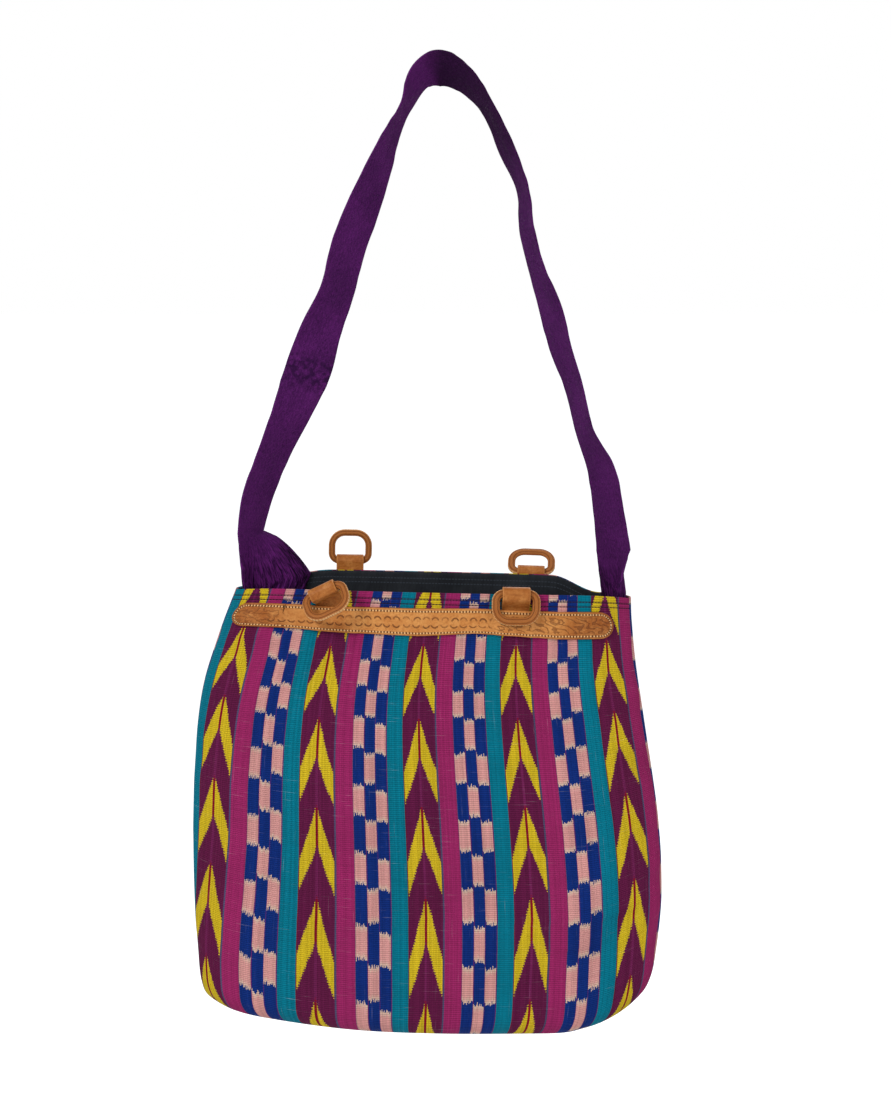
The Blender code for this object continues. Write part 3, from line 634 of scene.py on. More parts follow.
# Repeat of the pattern, where its first column of blocks starts, and how far the middle and
# last columns are shifted from it, in arrows
CHECK_OFFSETS = [(7.0, 0.50, -0.40, 0.0), (8.0, 0.446, -0.42, -0.13), (9.0, 0.635, -0.35, 0.09),
                 (10.0, 0.308, -0.39, 0.01), (11.0, 0.35, -0.40, -0.06), (12.0, 0.40, -0.40, 0.0)]
PLUM = srgb(0.43, 0.11, 0.29)
PLUM_RED = srgb(0.60, 0.08, 0.17)
PLUM_LIGHT = srgb(0.50, 0.15, 0.36)
MAGENTA = srgb(0.69, 0.175, 0.43)
YELLOW = srgb(0.95, 0.82, 0.16)
YELLOW_DARK = srgb(0.80, 0.65, 0.10)
TEAL = srgb(0.0, 0.52, 0.615)
BLUE = srgb(0.06, 0.20, 0.52)
PINK = srgb(0.95, 0.66, 0.64)
PALE_PINK = srgb(0.94, 0.81, 0.72)
SLATE = srgb(0.35, 0.33, 0.47)
VIOLET_LINE = srgb(0.45, 0.17, 0.45)
RED_LINE = srgb(0.50, 0.10, 0.18)

# Stripe colours and where each begins, in millimetres from the arrow's left edge
STRIPES = [(0.0, PLUM), (26.6, SLATE), (28.1, MAGENTA), (41.7, SLATE), (CHECK_START, BLUE),
           (51.1, VIOLET_LINE), (51.6, BLUE), (60.1, VIOLET_LINE), (60.6, BLUE),
           (CHECK_END, VIOLET_LINE), (70.1, TEAL), (83.1, RED_LINE)]

stripes, net, given, result = new_group(
    "Ikat stripes", [("Across mm", FLOAT, 0.0), ("Along", FLOAT, 0.0), ("Down mm", FLOAT, 0.0)],
    [("Colour", COLOUR)])
shifted = net.plus(given["Across mm"], 10 * REPEAT - ARROW_CENTRE + ARROW_HALF)
x = net.math("MODULO", shifted, REPEAT)
repeat_number = net.math("FLOOR", net.over(shifted, REPEAT))
bundle_number = net.math("FLOOR", net.over(shifted, BUNDLE))
luck = net.minus(net.white(bundle_number), 0.5)
slow = net.noise(net.vector(net.times(shifted, 0.11), given["Along"]), 1.0, 2.0)
slow = net.minus(slow, 0.5)
teeth = net.math("SINE", net.times(given["Down mm"], 2 * math.pi / TEETH_PITCH))
teeth = net.math("SIGN", teeth)
ramp = net.node("ShaderNodeValToRGB", Fac=net.over(x, REPEAT))
ramp.color_ramp.interpolation = "CONSTANT"
for index, (start, colour) in enumerate(STRIPES):
    stop = ramp.color_ramp.elements[index] if index < 2 else ramp.color_ramp.elements.new(start / REPEAT)
    stop.position = start / REPEAT
    stop.color = colour
ground = ramp.outputs[0]

# The arrow: two blades that lean outwards and down from a thin line in the middle
off_centre = net.away(x, ARROW_HALF)
stepped = net.times_plus(teeth, 0.32, off_centre)
stepped = net.times(net.math("FLOOR", net.over(stepped, BUNDLE)), BUNDLE)
phase = net.times_plus(stepped, BLADE_LEAN, given["Along"])
phase = net.times_plus(luck, 0.030, phase)
phase = net.times_plus(slow, 0.10, phase)
phase = net.math("FRACT", phase)
blade = net.math("LESS_THAN", phase, net.times_plus(off_centre, -0.006, BLADE_SHARE))
in_arrow = net.math("LESS_THAN", x, 2 * ARROW_HALF)
in_middle = net.math("LESS_THAN", off_centre, LINE_HALF)
yellow = net.times(blade, in_arrow)
yellow = net.times(yellow, net.minus(1.0, in_middle))
line = net.times(in_arrow, in_middle)
line_colour = net.mix(blade, PLUM_LIGHT, PLUM_RED)
colour = net.mix(line, ground, line_colour)
speck = net.noise(net.vector(shifted, given["Down mm"]), 1.3, 3.0, 0.7)
blade_colour = net.mix(net.step(speck, 0.5, 0.72), YELLOW, YELLOW_DARK)
colour = net.mix(yellow, colour, blade_colour)

# The checks: three columns of pink blocks on blue, each column at its own height
in_checks = net.times(net.math("GREATER_THAN", x, CHECK_START), net.math("LESS_THAN", x, CHECK_END))
in_lines = net.plus(*[net.math("LESS_THAN", net.away(x, line_place), CHECK_LINE_HALF)
                      for line_place in CHECK_LINES])
column = net.math("FLOOR", net.over(net.minus(x, CHECK_START), CHECK_COLUMN))
middle_column = net.math("COMPARE", column, 1.0, 0.1)
last_column = net.math("COMPARE", column, 2.0, 0.1)
offset = 0.0
for repeat, first, middle, last in CHECK_OFFSETS:
    here = net.math("COMPARE", repeat_number, repeat, 0.1)
    start = net.times_plus(middle_column, middle, first)
    start = net.times_plus(last_column, last, start)
    offset = net.times_plus(here, start, offset)
check = net.minus(given["Along"], offset)
check = net.times_plus(luck, 0.050, check)
check = net.times_plus(slow, 0.08, check)
check = net.math("FRACT", net.over(check, CHECK_PITCH))
block = net.math("LESS_THAN", check, BLOCK_SHARE)
block = net.times(block, in_checks)
block = net.times(block, net.minus(1.0, in_lines))
to_end = net.away(check, BLOCK_SHARE / 2)
paleness = net.plus(net.step(to_end, 0.13, 0.22), net.step(speck, 0.52, 0.70, 0.0, 0.7), clamp=True)
colour = net.mix(block, colour, net.mix(paleness, PINK, PALE_PINK))
net.feed(result["Colour"], colour)
print("group:", stripes.name)

# %% [markdown]
# The cloth's material lays the weave over the dyed stripes. Single weft and warp threads come
# out darker or paler than their neighbours, which keeps the plain stripes from looking printed,
# and two rows of stabs, where the hem was stitched, are painted dark as the shade in their
# dimples.

# %% Ikat cloth
HEM_STITCHES = (0.0056, 0.0096)
HEM_PITCH = 0.0031
THREAD_SHADOW = (0.02, 0.01, 0.02, 1.0)
BARE_FIBRE = (0.85, 0.78, 0.80, 1.0)


def ikat_material(name, depth):
    material, net, shader = new_material(name)
    place, across, down = net.uv("flat")
    _, _, along = net.uv("dye")
    across_mm = net.times(across, 1000.0)
    down_mm = net.times(down, 1000.0)
    dyed = net.use(stripes, Across_mm=across_mm, Along=along, Down_mm=down_mm)
    woven = net.use(weave, Place=place, Rib_Pitch=0.0017, Thread_Pitch=0.00062, Unevenness=0.5)
    dark = net.mix(0.62, dyed.outputs["Colour"], (0.0, 0.0, 0.0, 1.0))
    # The weave's shade is painted shade in the grooves between its ribs
    colour = net.mix(woven.outputs["Shade"], dark, dyed.outputs["Colour"])
    patch = net.noise(place, 22.0, 3.0, 0.6)
    colour = net.mix(net.step(patch, 0.35, 0.75, 0.0, 0.25), colour, dark)
    weft_place = net.vector(net.times(across, 26.0), net.times(down, 1300.0))
    weft = net.noise(weft_place, 1.0, 3.0, 0.7)
    warp_place = net.vector(net.times(across, 900.0), net.times(down, 16.0))
    warp = net.noise(warp_place, 1.0, 3.0, 0.7)
    colour = net.mix(net.step(weft, 0.54, 0.70, 0.0, 0.42), colour, dark)
    colour = net.mix(net.step(warp, 0.52, 0.72, 0.0, 0.40), colour, dark)
    pale = net.mix(0.35, dyed.outputs["Colour"], BARE_FIBRE)
    colour = net.mix(net.step(weft, 0.36, 0.26, 0.0, 0.55), colour, pale)
    colour = net.mix(net.step(warp, 0.35, 0.25, 0.0, 0.40), colour, pale)
    for row in HEM_STITCHES:
        near = net.away(down, row)
        stab = net.math("FRACT", net.over(across, HEM_PITCH))
        deep = net.step(stab, 0.55, 0.75, 0.6, 0.95)
        # Painted shade in the stitch dimples of the hem
        stab_shade = net.times(net.step(near, 0.0003, 0.0008, 1.0, 0.0), deep)
        colour = net.mix(stab_shade, colour, THREAD_SHADOW)
    rough = net.step(woven.outputs["Shade"], 0.0, 1.0, 0.95, 0.78)
    height = net.times_plus(weft, 0.9, net.times_plus(warp, 0.5, woven.outputs["Height"]))
    dress(net, shader, colour, rough, 0.08, height, 0.9, depth)
    return material


ikat_cloth = ikat_material("ikat cloth", 0.0004)
print("material:", ikat_cloth.name)

# %% [markdown]
# Each panel is one sheet from the rim to the bottom seam. Under the band the cloth is gathered
# a little, so small puckers run down from it, and two rows of top-stitching press the hem flat.
# The dye's place along the warp is kept in a second UV map, because it was stretched unevenly.

# %% Panels
PANEL_COLUMNS = 229
PANEL_ROWS = 205
SEAM_CLOSES = 0.05
# How far the stripes lean out to the left, halfway down and at the bottom
MIDDLE_STRETCH = 0.0045
LOW_STRETCH = 0.0110
# Where each tip of the middle arrow lies under the rim, and how much each arrow is shifted
TIP_DISTANCES = [0.0, 0.043, 0.105, 0.179, 0.256, 0.345, 0.400]
TIP_NUMBERS = [-0.62, 0.0, 1.0, 2.0, 3.0, 4.0, 4.60]
ARROW_PLACES = [0.0, 0.0321, 0.1161, 0.2001, 0.2841, 0.3681, 0.405]
ARROW_SHIFTS = [0.16, 0.16, -0.06, 0.0, 0.03, 0.08, 0.08]
# Added to the count of arrows, so that it never falls below nought
COUNT_FROM = 8.0


def puckers(side, across, down):
    """How far the cloth is pressed in, in metres: puckers below the band, and the hem's rows."""
    seed = 3 if side == "front" else 8
    flat_across = across * CLOTH_WIDTH
    flat_down = down * MIDDLE_HEIGHT
    below = flat_down - BAND_TOP_MARGIN - BAND_WIDTH
    fade = smoothstep(0.0, 0.010, below) * np.exp(-np.clip(below, 0, None) / 0.035)
    gather = smooth_noise((flat_across / 0.011 + 0.6 * np.sin(below * 60), below / 0.05), seed, (64, 16))
    depth = 0.0019 * gather * fade
    creases = smooth_noise((flat_across / 0.030, flat_down / 0.022), seed + 1, (32, 32))
    depth += 0.0010 * creases * smoothstep(0.005, 0.05, below) * (1 - smoothstep(0.93, 0.99, down))
    for row in HEM_STITCHES:
        pinch = 0.75 + 0.25 * np.cos(2 * math.pi * flat_across / HEM_PITCH)
        depth -= 0.0007 * pinch * np.exp(-((flat_down - row) / 0.0007) ** 2)
    return depth


def dye_places(alongs, downs):
    across, down = np.meshgrid(alongs, downs)
    tips = np.interp(down * MIDDLE_HEIGHT, TIP_DISTANCES, TIP_NUMBERS)
    shift = np.interp(across * CLOTH_WIDTH, ARROW_PLACES, ARROW_SHIFTS)
    return np.stack([across, tips + shift + COUNT_FROM], axis=-1)


def make_panel(name, side, node, material):
    alongs = np.linspace(0.0, 1.0, PANEL_COLUMNS)
    # Rows lie closest in the hem and under the band, and close up again towards the bottom seam
    downs = np.concatenate([np.linspace(0.0, 0.12, 60)[:-1],
                            np.linspace(0.12, 0.93, PANEL_ROWS - 91)[:-1],
                            0.93 + 0.07 * np.sin(np.linspace(0.0, math.pi / 2, 32))])
    face, normals = cloth_grid(side, alongs, downs)
    across, down = np.meshgrid(alongs, downs)
    inner = smoothstep(0.0, 0.02, across) * (1 - smoothstep(0.98, 1.0, across))
    depth = puckers(side, across, down) * inner
    face = face + normals * depth[..., None]
    reverse = face - normals * CLOTH
    # The two panels are sewn together, so no light comes through the seams
    face[:, (0, -1), 1] *= SEAM_CLOSES
    face[-1, 1:-1, 1] *= SEAM_CLOSES
    reverse[:, (0, -1), 1] *= SEAM_CLOSES
    stretch = MIDDLE_STRETCH * (1 - smoothstep(0.0, 0.45, across)) * smoothstep(0.15, 0.45, down)
    stretch += LOW_STRETCH * (1 - smoothstep(0.05, 0.42, across)) * smoothstep(0.50, 0.95, down)
    flat = np.stack([across * CLOTH_WIDTH + stretch, down * MIDDLE_HEIGHT], axis=-1)
    maps = {"flat": flat, "dye": dye_places(alongs, downs)}
    piece = sheet_piece(name, face, reverse, material, "bag", "ikat_cloth", maps, side == "back")
    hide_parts(node)
    return piece


front_cloth = make_panel("front_cloth", "front", "front_panel", ikat_cloth)
back_cloth = make_panel("back_cloth", "back", "back_panel", ikat_cloth)
print("panel faces:", len(front_cloth.data.polygons))

# %% [markdown]
# The lining is a black cotton pouch that hangs a little inside the cloth, sewn to it along the
# rim. It is one sheet that runs along the front wall and back along the rear wall, pinched shut
# at the bottom. Two faint rows of stitches, the same that hold the hem, show on its facing.

# %% Black lining
LINING_ROWS = 60
LINING_COLUMNS = 100
LINING_BLACK = srgb(0.155, 0.165, 0.185)
LINING_THREAD = srgb(0.22, 0.24, 0.27)


def lining_material():
    material, net, shader = new_material("black lining")
    place, across, down = net.uv("flat")
    woven = net.use(weave, Place=place, Rib_Pitch=0.0007, Thread_Pitch=0.00055, Unevenness=0.8)
    rumple = net.noise(place, 30.0, 4.0, 0.6)
    # Paler where the rumple noise is high, the same noise that raises the bump
    paler_on_rumples = net.mix(net.step(rumple, 0.35, 0.7), LINING_BLACK, srgb(0.20, 0.215, 0.235))
    colour = net.mix(woven.outputs["Shade"], net.mix(0.55, paler_on_rumples, (0.0, 0.0, 0.0, 1.0)), paler_on_rumples)
    rows = 0.0
    for row in HEM_STITCHES:
        near = net.away(down, row)
        dash = net.math("LESS_THAN", net.math("FRACT", net.over(across, HEM_PITCH)), 0.7)
        rows = net.plus(net.times(net.step(near, 0.0003, 0.0005, 1.0, 0.0), dash), rows)
    colour = net.mix(rows, colour, LINING_THREAD)
    rough = net.step(rumple, 0.2, 0.8, 0.92, 0.78)
    height = net.times_plus(rumple, 3.0, woven.outputs["Height"])
    dress(net, shader, colour, rough, 0.12, height, 0.7, 0.0003)
    return material


def lining_layer(downs, alongs, inset):
    """One face of the pouch: loops along the front and back along the rear."""
    lift = lining_lift(downs) - inset
    walls = []
    for side in ("front lining", "back lining"):
        face, normals = cloth_grid(side, alongs, downs)
        walls.append(face + normals * lift[:, None, None])
    front, back = walls
    for end in (0, -1):
        front[:, end] = (front[:, end] + back[:, end]) / 2
    return np.concatenate([front, back[:, -2:0:-1]], axis=1)


def make_lining():
    downs = np.concatenate([np.linspace(0.0004, 0.16, 24)[:-1], np.linspace(0.16, 0.9947, LINING_ROWS - 23)])
    alongs = 0.5 - 0.5 * np.cos(np.linspace(0.0, math.pi, LINING_COLUMNS))
    layers = [lining_layer(downs, alongs, inset) for inset in (0.0, LINING)]
    rows, loop = layers[0].shape[:2]
    points = np.concatenate([layer.reshape(-1, 3) for layer in layers])
    half = rows * loop
    faces = grid_faces(rows, loop, False, 0, True) + grid_faces(rows, loop, True, half, True)
    for index in range(loop):
        after = (index + 1) % loop
        faces.append((after, half + after, half + index, index))
    for start, inward in ((half - loop, False), (2 * half - loop, True)):
        for index in range(LINING_COLUMNS - 1):
            over = (loop - index) % loop, (loop - index - 1) % loop
            ring = [start + index, start + over[0], start + over[1], start + index + 1]
            ring = [corner for place, corner in enumerate(ring) if corner not in ring[:place]]
            faces.append(tuple(ring[::-1] if inward else ring))
    across = np.concatenate([alongs, alongs[-2:0:-1]]) * CLOTH_WIDTH
    flat = np.stack(np.meshgrid(across, downs * MIDDLE_HEIGHT), axis=-1).reshape(-1, 2)
    maps = {"flat": np.concatenate([flat, flat])}
    piece = new_piece("lining_cloth", points, faces, lining_material(), "bag", maps)
    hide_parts("lining")
    return piece


lining_cloth = make_lining()
print("lining faces:", len(lining_cloth.data.polygons))

# %% [markdown]
# All the leather is the same tan hide, so its grain is one group: cloudy dye, fine pores and
# scratches that run along the piece. The edge stitches are a second group. They are pale
# threads that dive into pricked holes at an even pitch, a fixed distance inside the edge, and
# the holes are painted dark as the shade inside them.

# %% Leather groups
TAN = srgb(0.735, 0.465, 0.222)
TAN_LIGHT = srgb(0.81, 0.556, 0.30)
TAN_DARK = srgb(0.565, 0.30, 0.085)
TAN_DEEP = srgb(0.38, 0.185, 0.065)
PALE_THREAD = srgb(0.89, 0.71, 0.49)
PAINTED_HOLE_SHADE = srgb(0.34, 0.17, 0.065)
LEATHER_SHINE = 0.18

leather, net, given, result = new_group(
    "Leather",
    [("Place", VECTOR, None), ("Darkness", FLOAT, 0.0), ("Scratches", FLOAT, 0.4)],
    [("Colour", COLOUR), ("Height", FLOAT), ("Roughness", FLOAT)])
cloud = net.noise(given["Place"], 70.0, 4.0, 0.6)
mottle = net.noise(given["Place"], 420.0, 4.0, 0.65)
pores = net.node("ShaderNodeTexVoronoi", {"feature": "SMOOTH_F1"}, Vector=given["Place"], Scale=1500.0)
split = net.node("ShaderNodeSeparateXYZ", Vector=given["Place"])
stretched = net.vector(net.times(split.outputs[0], 160.0), net.times(split.outputs[1], 1100.0))
scratch = net.node("ShaderNodeTexNoise", Vector=stretched, Scale=1.0, Detail=4.0, Distortion=1.5).outputs[0]
scratch = net.times(net.step(scratch, 0.55, 0.72), given["Scratches"])
colour = net.mix(net.step(cloud, 0.32, 0.68), TAN, TAN_LIGHT)
colour = net.mix(net.times(net.step(mottle, 0.42, 0.75), 0.55), colour, TAN_DARK)
colour = net.mix(net.times(given["Darkness"], net.step(cloud, 0.7, 0.3, 0.55, 1.0)), colour, TAN_DARK)
deep = net.times(net.minus(given["Darkness"], 0.6, clamp=True), net.step(mottle, 0.4, 0.7))
colour = net.mix(deep, colour, TAN_DEEP)
colour = net.mix(net.times(scratch, 0.5), colour, TAN_LIGHT)
net.feed(result["Colour"], colour)
height = net.times_plus(pores.outputs["Distance"], 0.5, net.times(mottle, 0.8))
net.feed(result["Height"], net.times_plus(scratch, -0.4, height))
net.feed(result["Roughness"], net.times_plus(mottle, 0.25, 0.36))

stitches, net, given, result = new_group(
    "Edge stitches",
    [("Along", FLOAT, 0.0), ("Inside", FLOAT, 0.0), ("Pitch", FLOAT, 0.0026), ("Inset", FLOAT, 0.0023)],
    [("Thread", FLOAT), ("Hole", FLOAT), ("Height", FLOAT)])
wander = net.noise(net.vector(net.times(given["Along"], 130.0)), 1.0, 1.0)
inset = net.times_plus(net.minus(wander, 0.5), 0.0009, given["Inset"])
off_row = net.away(given["Inside"], inset)
phase = net.away(net.math("FRACT", net.over(given["Along"], given["Pitch"])), 0.5)
thread = net.times(net.step(phase, 0.22, 0.30, 1.0, 0.0), net.step(off_row, 0.00045, 0.0007, 1.0, 0.0))
hole = net.times(net.step(phase, 0.27, 0.34), net.step(off_row, 0.0007, 0.0010, 1.0, 0.0))
channel = net.step(off_row, 0.0006, 0.0014, 1.0, 0.0)
height = net.times_plus(hole, -1.6, net.times(thread, 0.9))
net.feed(result["Thread"], thread)
net.feed(result["Hole"], hole)
net.feed(result["Height"], net.times_plus(channel, -0.6, height))
print("groups:", leather.name, "and", stitches.name)

# %% [markdown]
# The band is tooled by hand. A crescent stamp is struck twice to face itself, over and over
# along the middle, more loosely to the left. To the right it turns into flowing cuts, like
# leaves, and both ends are darker. Over the foot of the front-left tab the band is painted
# darker, as the shade of its wrinkles there. The tool marks are drawn from the place across
# the bag, in millimetres, and each strike is set a little off by a random number.

# %% Band leather
STAMP_PITCH = 7.75
STAMP_RADIUS = 2.55
STAMP_LINE = 0.42
BAND_STITCH = 0.00256
RING_STITCH = 0.0021


def crescent_row(net, x, y, centre, opening, start, end, seed):
    """A row of struck crescents: opening is 1 where they open downwards, and -1 upwards."""
    cell = net.over(net.plus(x, 500.0 + seed * 0.9), STAMP_PITCH)
    number = net.math("FLOOR", cell)
    luck = net.minus(net.white(net.plus(number, seed * 17.0)), 0.5)
    other = net.minus(net.white(net.plus(number, seed * 31.0 + 5.0)), 0.5)
    local = net.times(net.minus(net.math("FRACT", cell), 0.5), STAMP_PITCH)
    local = net.times_plus(luck, 1.5, local)
    rise = net.times_plus(other, 0.8, net.minus(y, centre))
    rise = net.times_plus(local, net.times(luck, 0.35), rise)
    radius = net.math("SQRT", net.plus(net.math("POWER", local, 2.0), net.math("POWER", rise, 2.0)))
    off_line = net.away(radius, STAMP_RADIUS)
    line = net.step(off_line, STAMP_LINE * 0.5, STAMP_LINE * 1.9, 1.0, 0.0)
    upper = net.step(net.times(rise, opening), -0.4, 1.3)
    inside = net.times(net.step(x, start, start + 3.0), net.step(x, end - 3.0, end, 1.0, 0.0))
    struck = net.times(net.times(line, upper), inside)
    return net.times(struck, net.step(other, -0.5, 0.1, 0.55, 1.0))


def band_material():
    material, net, shader = new_material("tooled leather")
    place, across, below = net.uv("flat")
    _, along, inside = net.uv("edge")
    x = net.times(across, 1000.0)
    y = net.times_plus(below, -1000.0, BAND_WIDTH * 500.0)
    upper = crescent_row(net, x, y, 1.7, 1.0, -84.0, 46.0, 1.0)
    lower = crescent_row(net, x, y, -1.7, -1.0, -143.0, 46.0, 1.6)
    stamps = net.math("MAXIMUM", upper, lower)
    swirl = net.noise(net.vector(net.times(x, 0.09), net.times(y, 0.16)), 1.0, 2.0)
    flow = net.times_plus(x, 0.62, net.times(y, 0.9))
    flow = net.math("SINE", net.times_plus(swirl, 26.0, flow))
    cuts = net.step(flow, 0.55, 0.95)
    from_middle = net.math("ABSOLUTE", y)
    in_leaves = net.times(net.step(x, 42.0, 52.0), net.step(from_middle, 6.0, 8.0, 1.0, 0.0))
    left_leaves = net.times(net.step(x, -128.0, -118.0, 1.0, 0.0),
                            net.step(from_middle, 6.5, 8.5, 1.0, 0.0))
    in_leaves = net.math("MAXIMUM", in_leaves, net.times(left_leaves, 0.7))
    cuts = net.times(cuts, in_leaves)
    # Both ends are darker
    right_end = net.step(x, 88.0, 122.0)
    left_end = net.step(x, -150.0, -96.0, 1.0, 0.0)
    dark_ends_and_foot_shade = net.math("MAXIMUM", right_end, left_end)
    # Painted shade of the wrinkles over the front-left tab's foot
    near_foot = net.away(x, -88.0)
    dark_ends_and_foot_shade = net.math("MAXIMUM", dark_ends_and_foot_shade, net.step(near_foot, 8.0, 26.0, 0.55, 0.0))
    hide = net.use(leather, Place=place, Darkness=dark_ends_and_foot_shade, Scratches=net.times_plus(dark_ends_and_foot_shade, 0.7, 0.25))
    sewn = net.use(stitches, Along=along, Inside=inside, Pitch=BAND_STITCH, Inset=0.0024)
    marks = net.math("MAXIMUM", stamps, net.times(cuts, 0.75))
    colour = net.mix(net.times(marks, 0.78), hide.outputs["Colour"], TAN_DEEP)
    edge = net.step(inside, 0.0, 0.0012, 0.55, 0.0)
    colour = net.mix(edge, colour, TAN_DARK)
    # Painted shade in the stitch holes
    colour = net.mix(net.times(sewn.outputs["Hole"], 0.9), colour, PAINTED_HOLE_SHADE)
    colour = net.mix(net.times(sewn.outputs["Thread"], 0.9), colour, PALE_THREAD)
    height = net.times_plus(hide.outputs["Height"], 0.35, sewn.outputs["Height"])
    height = net.times_plus(marks, -2.2, height)
    dress(net, shader, colour, hide.outputs["Roughness"], LEATHER_SHINE, height, 0.85, 0.0004)
    return material


tooled_leather = band_material()
print("material:", tooled_leather.name)

# %% [markdown]
# The tabs come before the bands, because a band lies over the feet of its tabs. Each tab is a
# strip folded over its ring, pared thin where its two plies go under the band. The numbers are
# again those of the plain solids.

# %% Where tabs sit
TAB_WIDTH = 0.0225
TAB_CAVITY = 0.0038
TAB_PLY = 0.0015
FOOT_PLY = 0.0007
TAB_FOOT = 0.0075
TAB_SHOULDER = 0.0012
TABS = {
    "front_left": dict(side="front", place=-0.0915, rise=0.0004, depth=0.0105, lean=-27.0, rest=38.0,
                       width=0.0395, band=0.0064),
    "front_right": dict(side="front", place=0.0640, rise=0.0015, depth=0.0058, lean=0.0, rest=9.0,
                        width=0.0395, band=0.0066),
    "back_left": dict(side="back", place=-0.0725, rise=0.0063, depth=0.0058, lean=0.0, rest=176.0,
                      width=0.0360, band=0.0055),
    "back_right": dict(side="back", place=0.0780, rise=0.0005, depth=0.0058, lean=0.0, rest=122.0,
                       width=0.0395, band=0.0062),
}


def tab_levels(tab):
    """Where a tab leaves the cloth and where its foot ends, along the tab from the bar."""
    lean = math.radians(abs(tab["lean"]))
    drop = tab["rise"] + BAND_TOP_MARGIN
    corner = TAB_WIDTH / 2 * math.tan(lean)
    shoulder = corner - (drop - TAB_SHOULDER) / math.cos(lean)
    return shoulder, -corner - drop / math.cos(lean) - TAB_FOOT * math.cos(lean) ** 2


def foot_span(tab):
    lean = math.radians(tab["lean"])
    foot = tab_levels(tab)[1]
    places = []
    for half in (-TAB_WIDTH / 2, TAB_WIDTH / 2):
        crossing = (half * math.sin(lean) - tab["rise"] - BAND_TOP_MARGIN) / math.cos(lean)
        places += [tab["place"] + half * math.cos(lean) + level * math.sin(lean)
                   for level in (crossing, foot)]
    return min(places), max(places)


def tab_frame(tab):
    """The loop's centre and the directions of its bar, of up and of out."""
    side = tab["side"]
    along = share_at(side, 0.0, tab["place"])
    step = TAB_WIDTH / 2 / row_length(side, 0.0)
    level = unit(on_cloth(side, along + step, 0.0) - on_cloth(side, along - step, 0.0))
    under_band = share_at(side, down_share(BAND_TOP_MARGIN), sum(foot_span(tab)) / 2)
    out = cloth_normal(side, under_band, down_share(BAND_TOP_MARGIN))
    level = unit(level - out * np.dot(out, level))
    upright = np.cross(out, level) if side == "back" else np.cross(level, out)
    upright = upright if upright[2] > 0 else -upright
    centre = on_cloth(side, along, 0.0) + upright * tab["rise"] + out * tab["depth"]
    lean = math.radians(tab["lean"])
    bar = level * math.cos(lean) - upright * math.sin(lean)
    return centre, bar, upright * math.cos(lean) + level * math.sin(lean), out


print("tab centres:", {name: np.round(tab_frame(tab)[0], 4).tolist() for name, tab in TABS.items()})

# %% [markdown]
# A band is cut with round ends, rides up over the feet of the tabs, and its cut edges are
# slightly rounded. Its outline wanders a little, because it is soft and was cut by hand: the
# lower edge dips and rises along the front, and the left end is narrower.

# %% Bands
BAND_THICKNESS = 0.0024
BAND_MARGINS = (0.0150, 0.0260)
BAND_EASE = 0.0012
BAND_RAMP = 0.0070
BAND_UPRIGHT = 0.125
BAND_COLUMNS = 260
BAND_ROWS = 27
# Places across, and how far the front band's lower edge stands above its plain line there
WAVE_PLACES = [-0.16, -0.120, -0.085, -0.015, 0.030, 0.065, 0.098, 0.13]
LOWER_WAVE = [0.0022, 0.0026, 0.0013, 0.0, 0.0034, 0.0020, -0.0003, -0.0006]
UPPER_WAVE = [0.0004, 0.0002, 0.0, 0.0, 0.0012, 0.0006, -0.0006, -0.0006]


def band_lift(side, x):
    """How far the band's back stands off the cloth: it rides up over the feet of the tabs."""
    lift = np.full_like(x, GAP)
    for tab in TABS.values():
        if tab["side"] == side:
            low, high = foot_span(tab)
            distance = np.maximum(low - x, x - high)
            lift += (2 * FOOT_PLY + 3 * GAP) * (1 - smoothstep(BAND_EASE, BAND_RAMP, distance))
    return lift


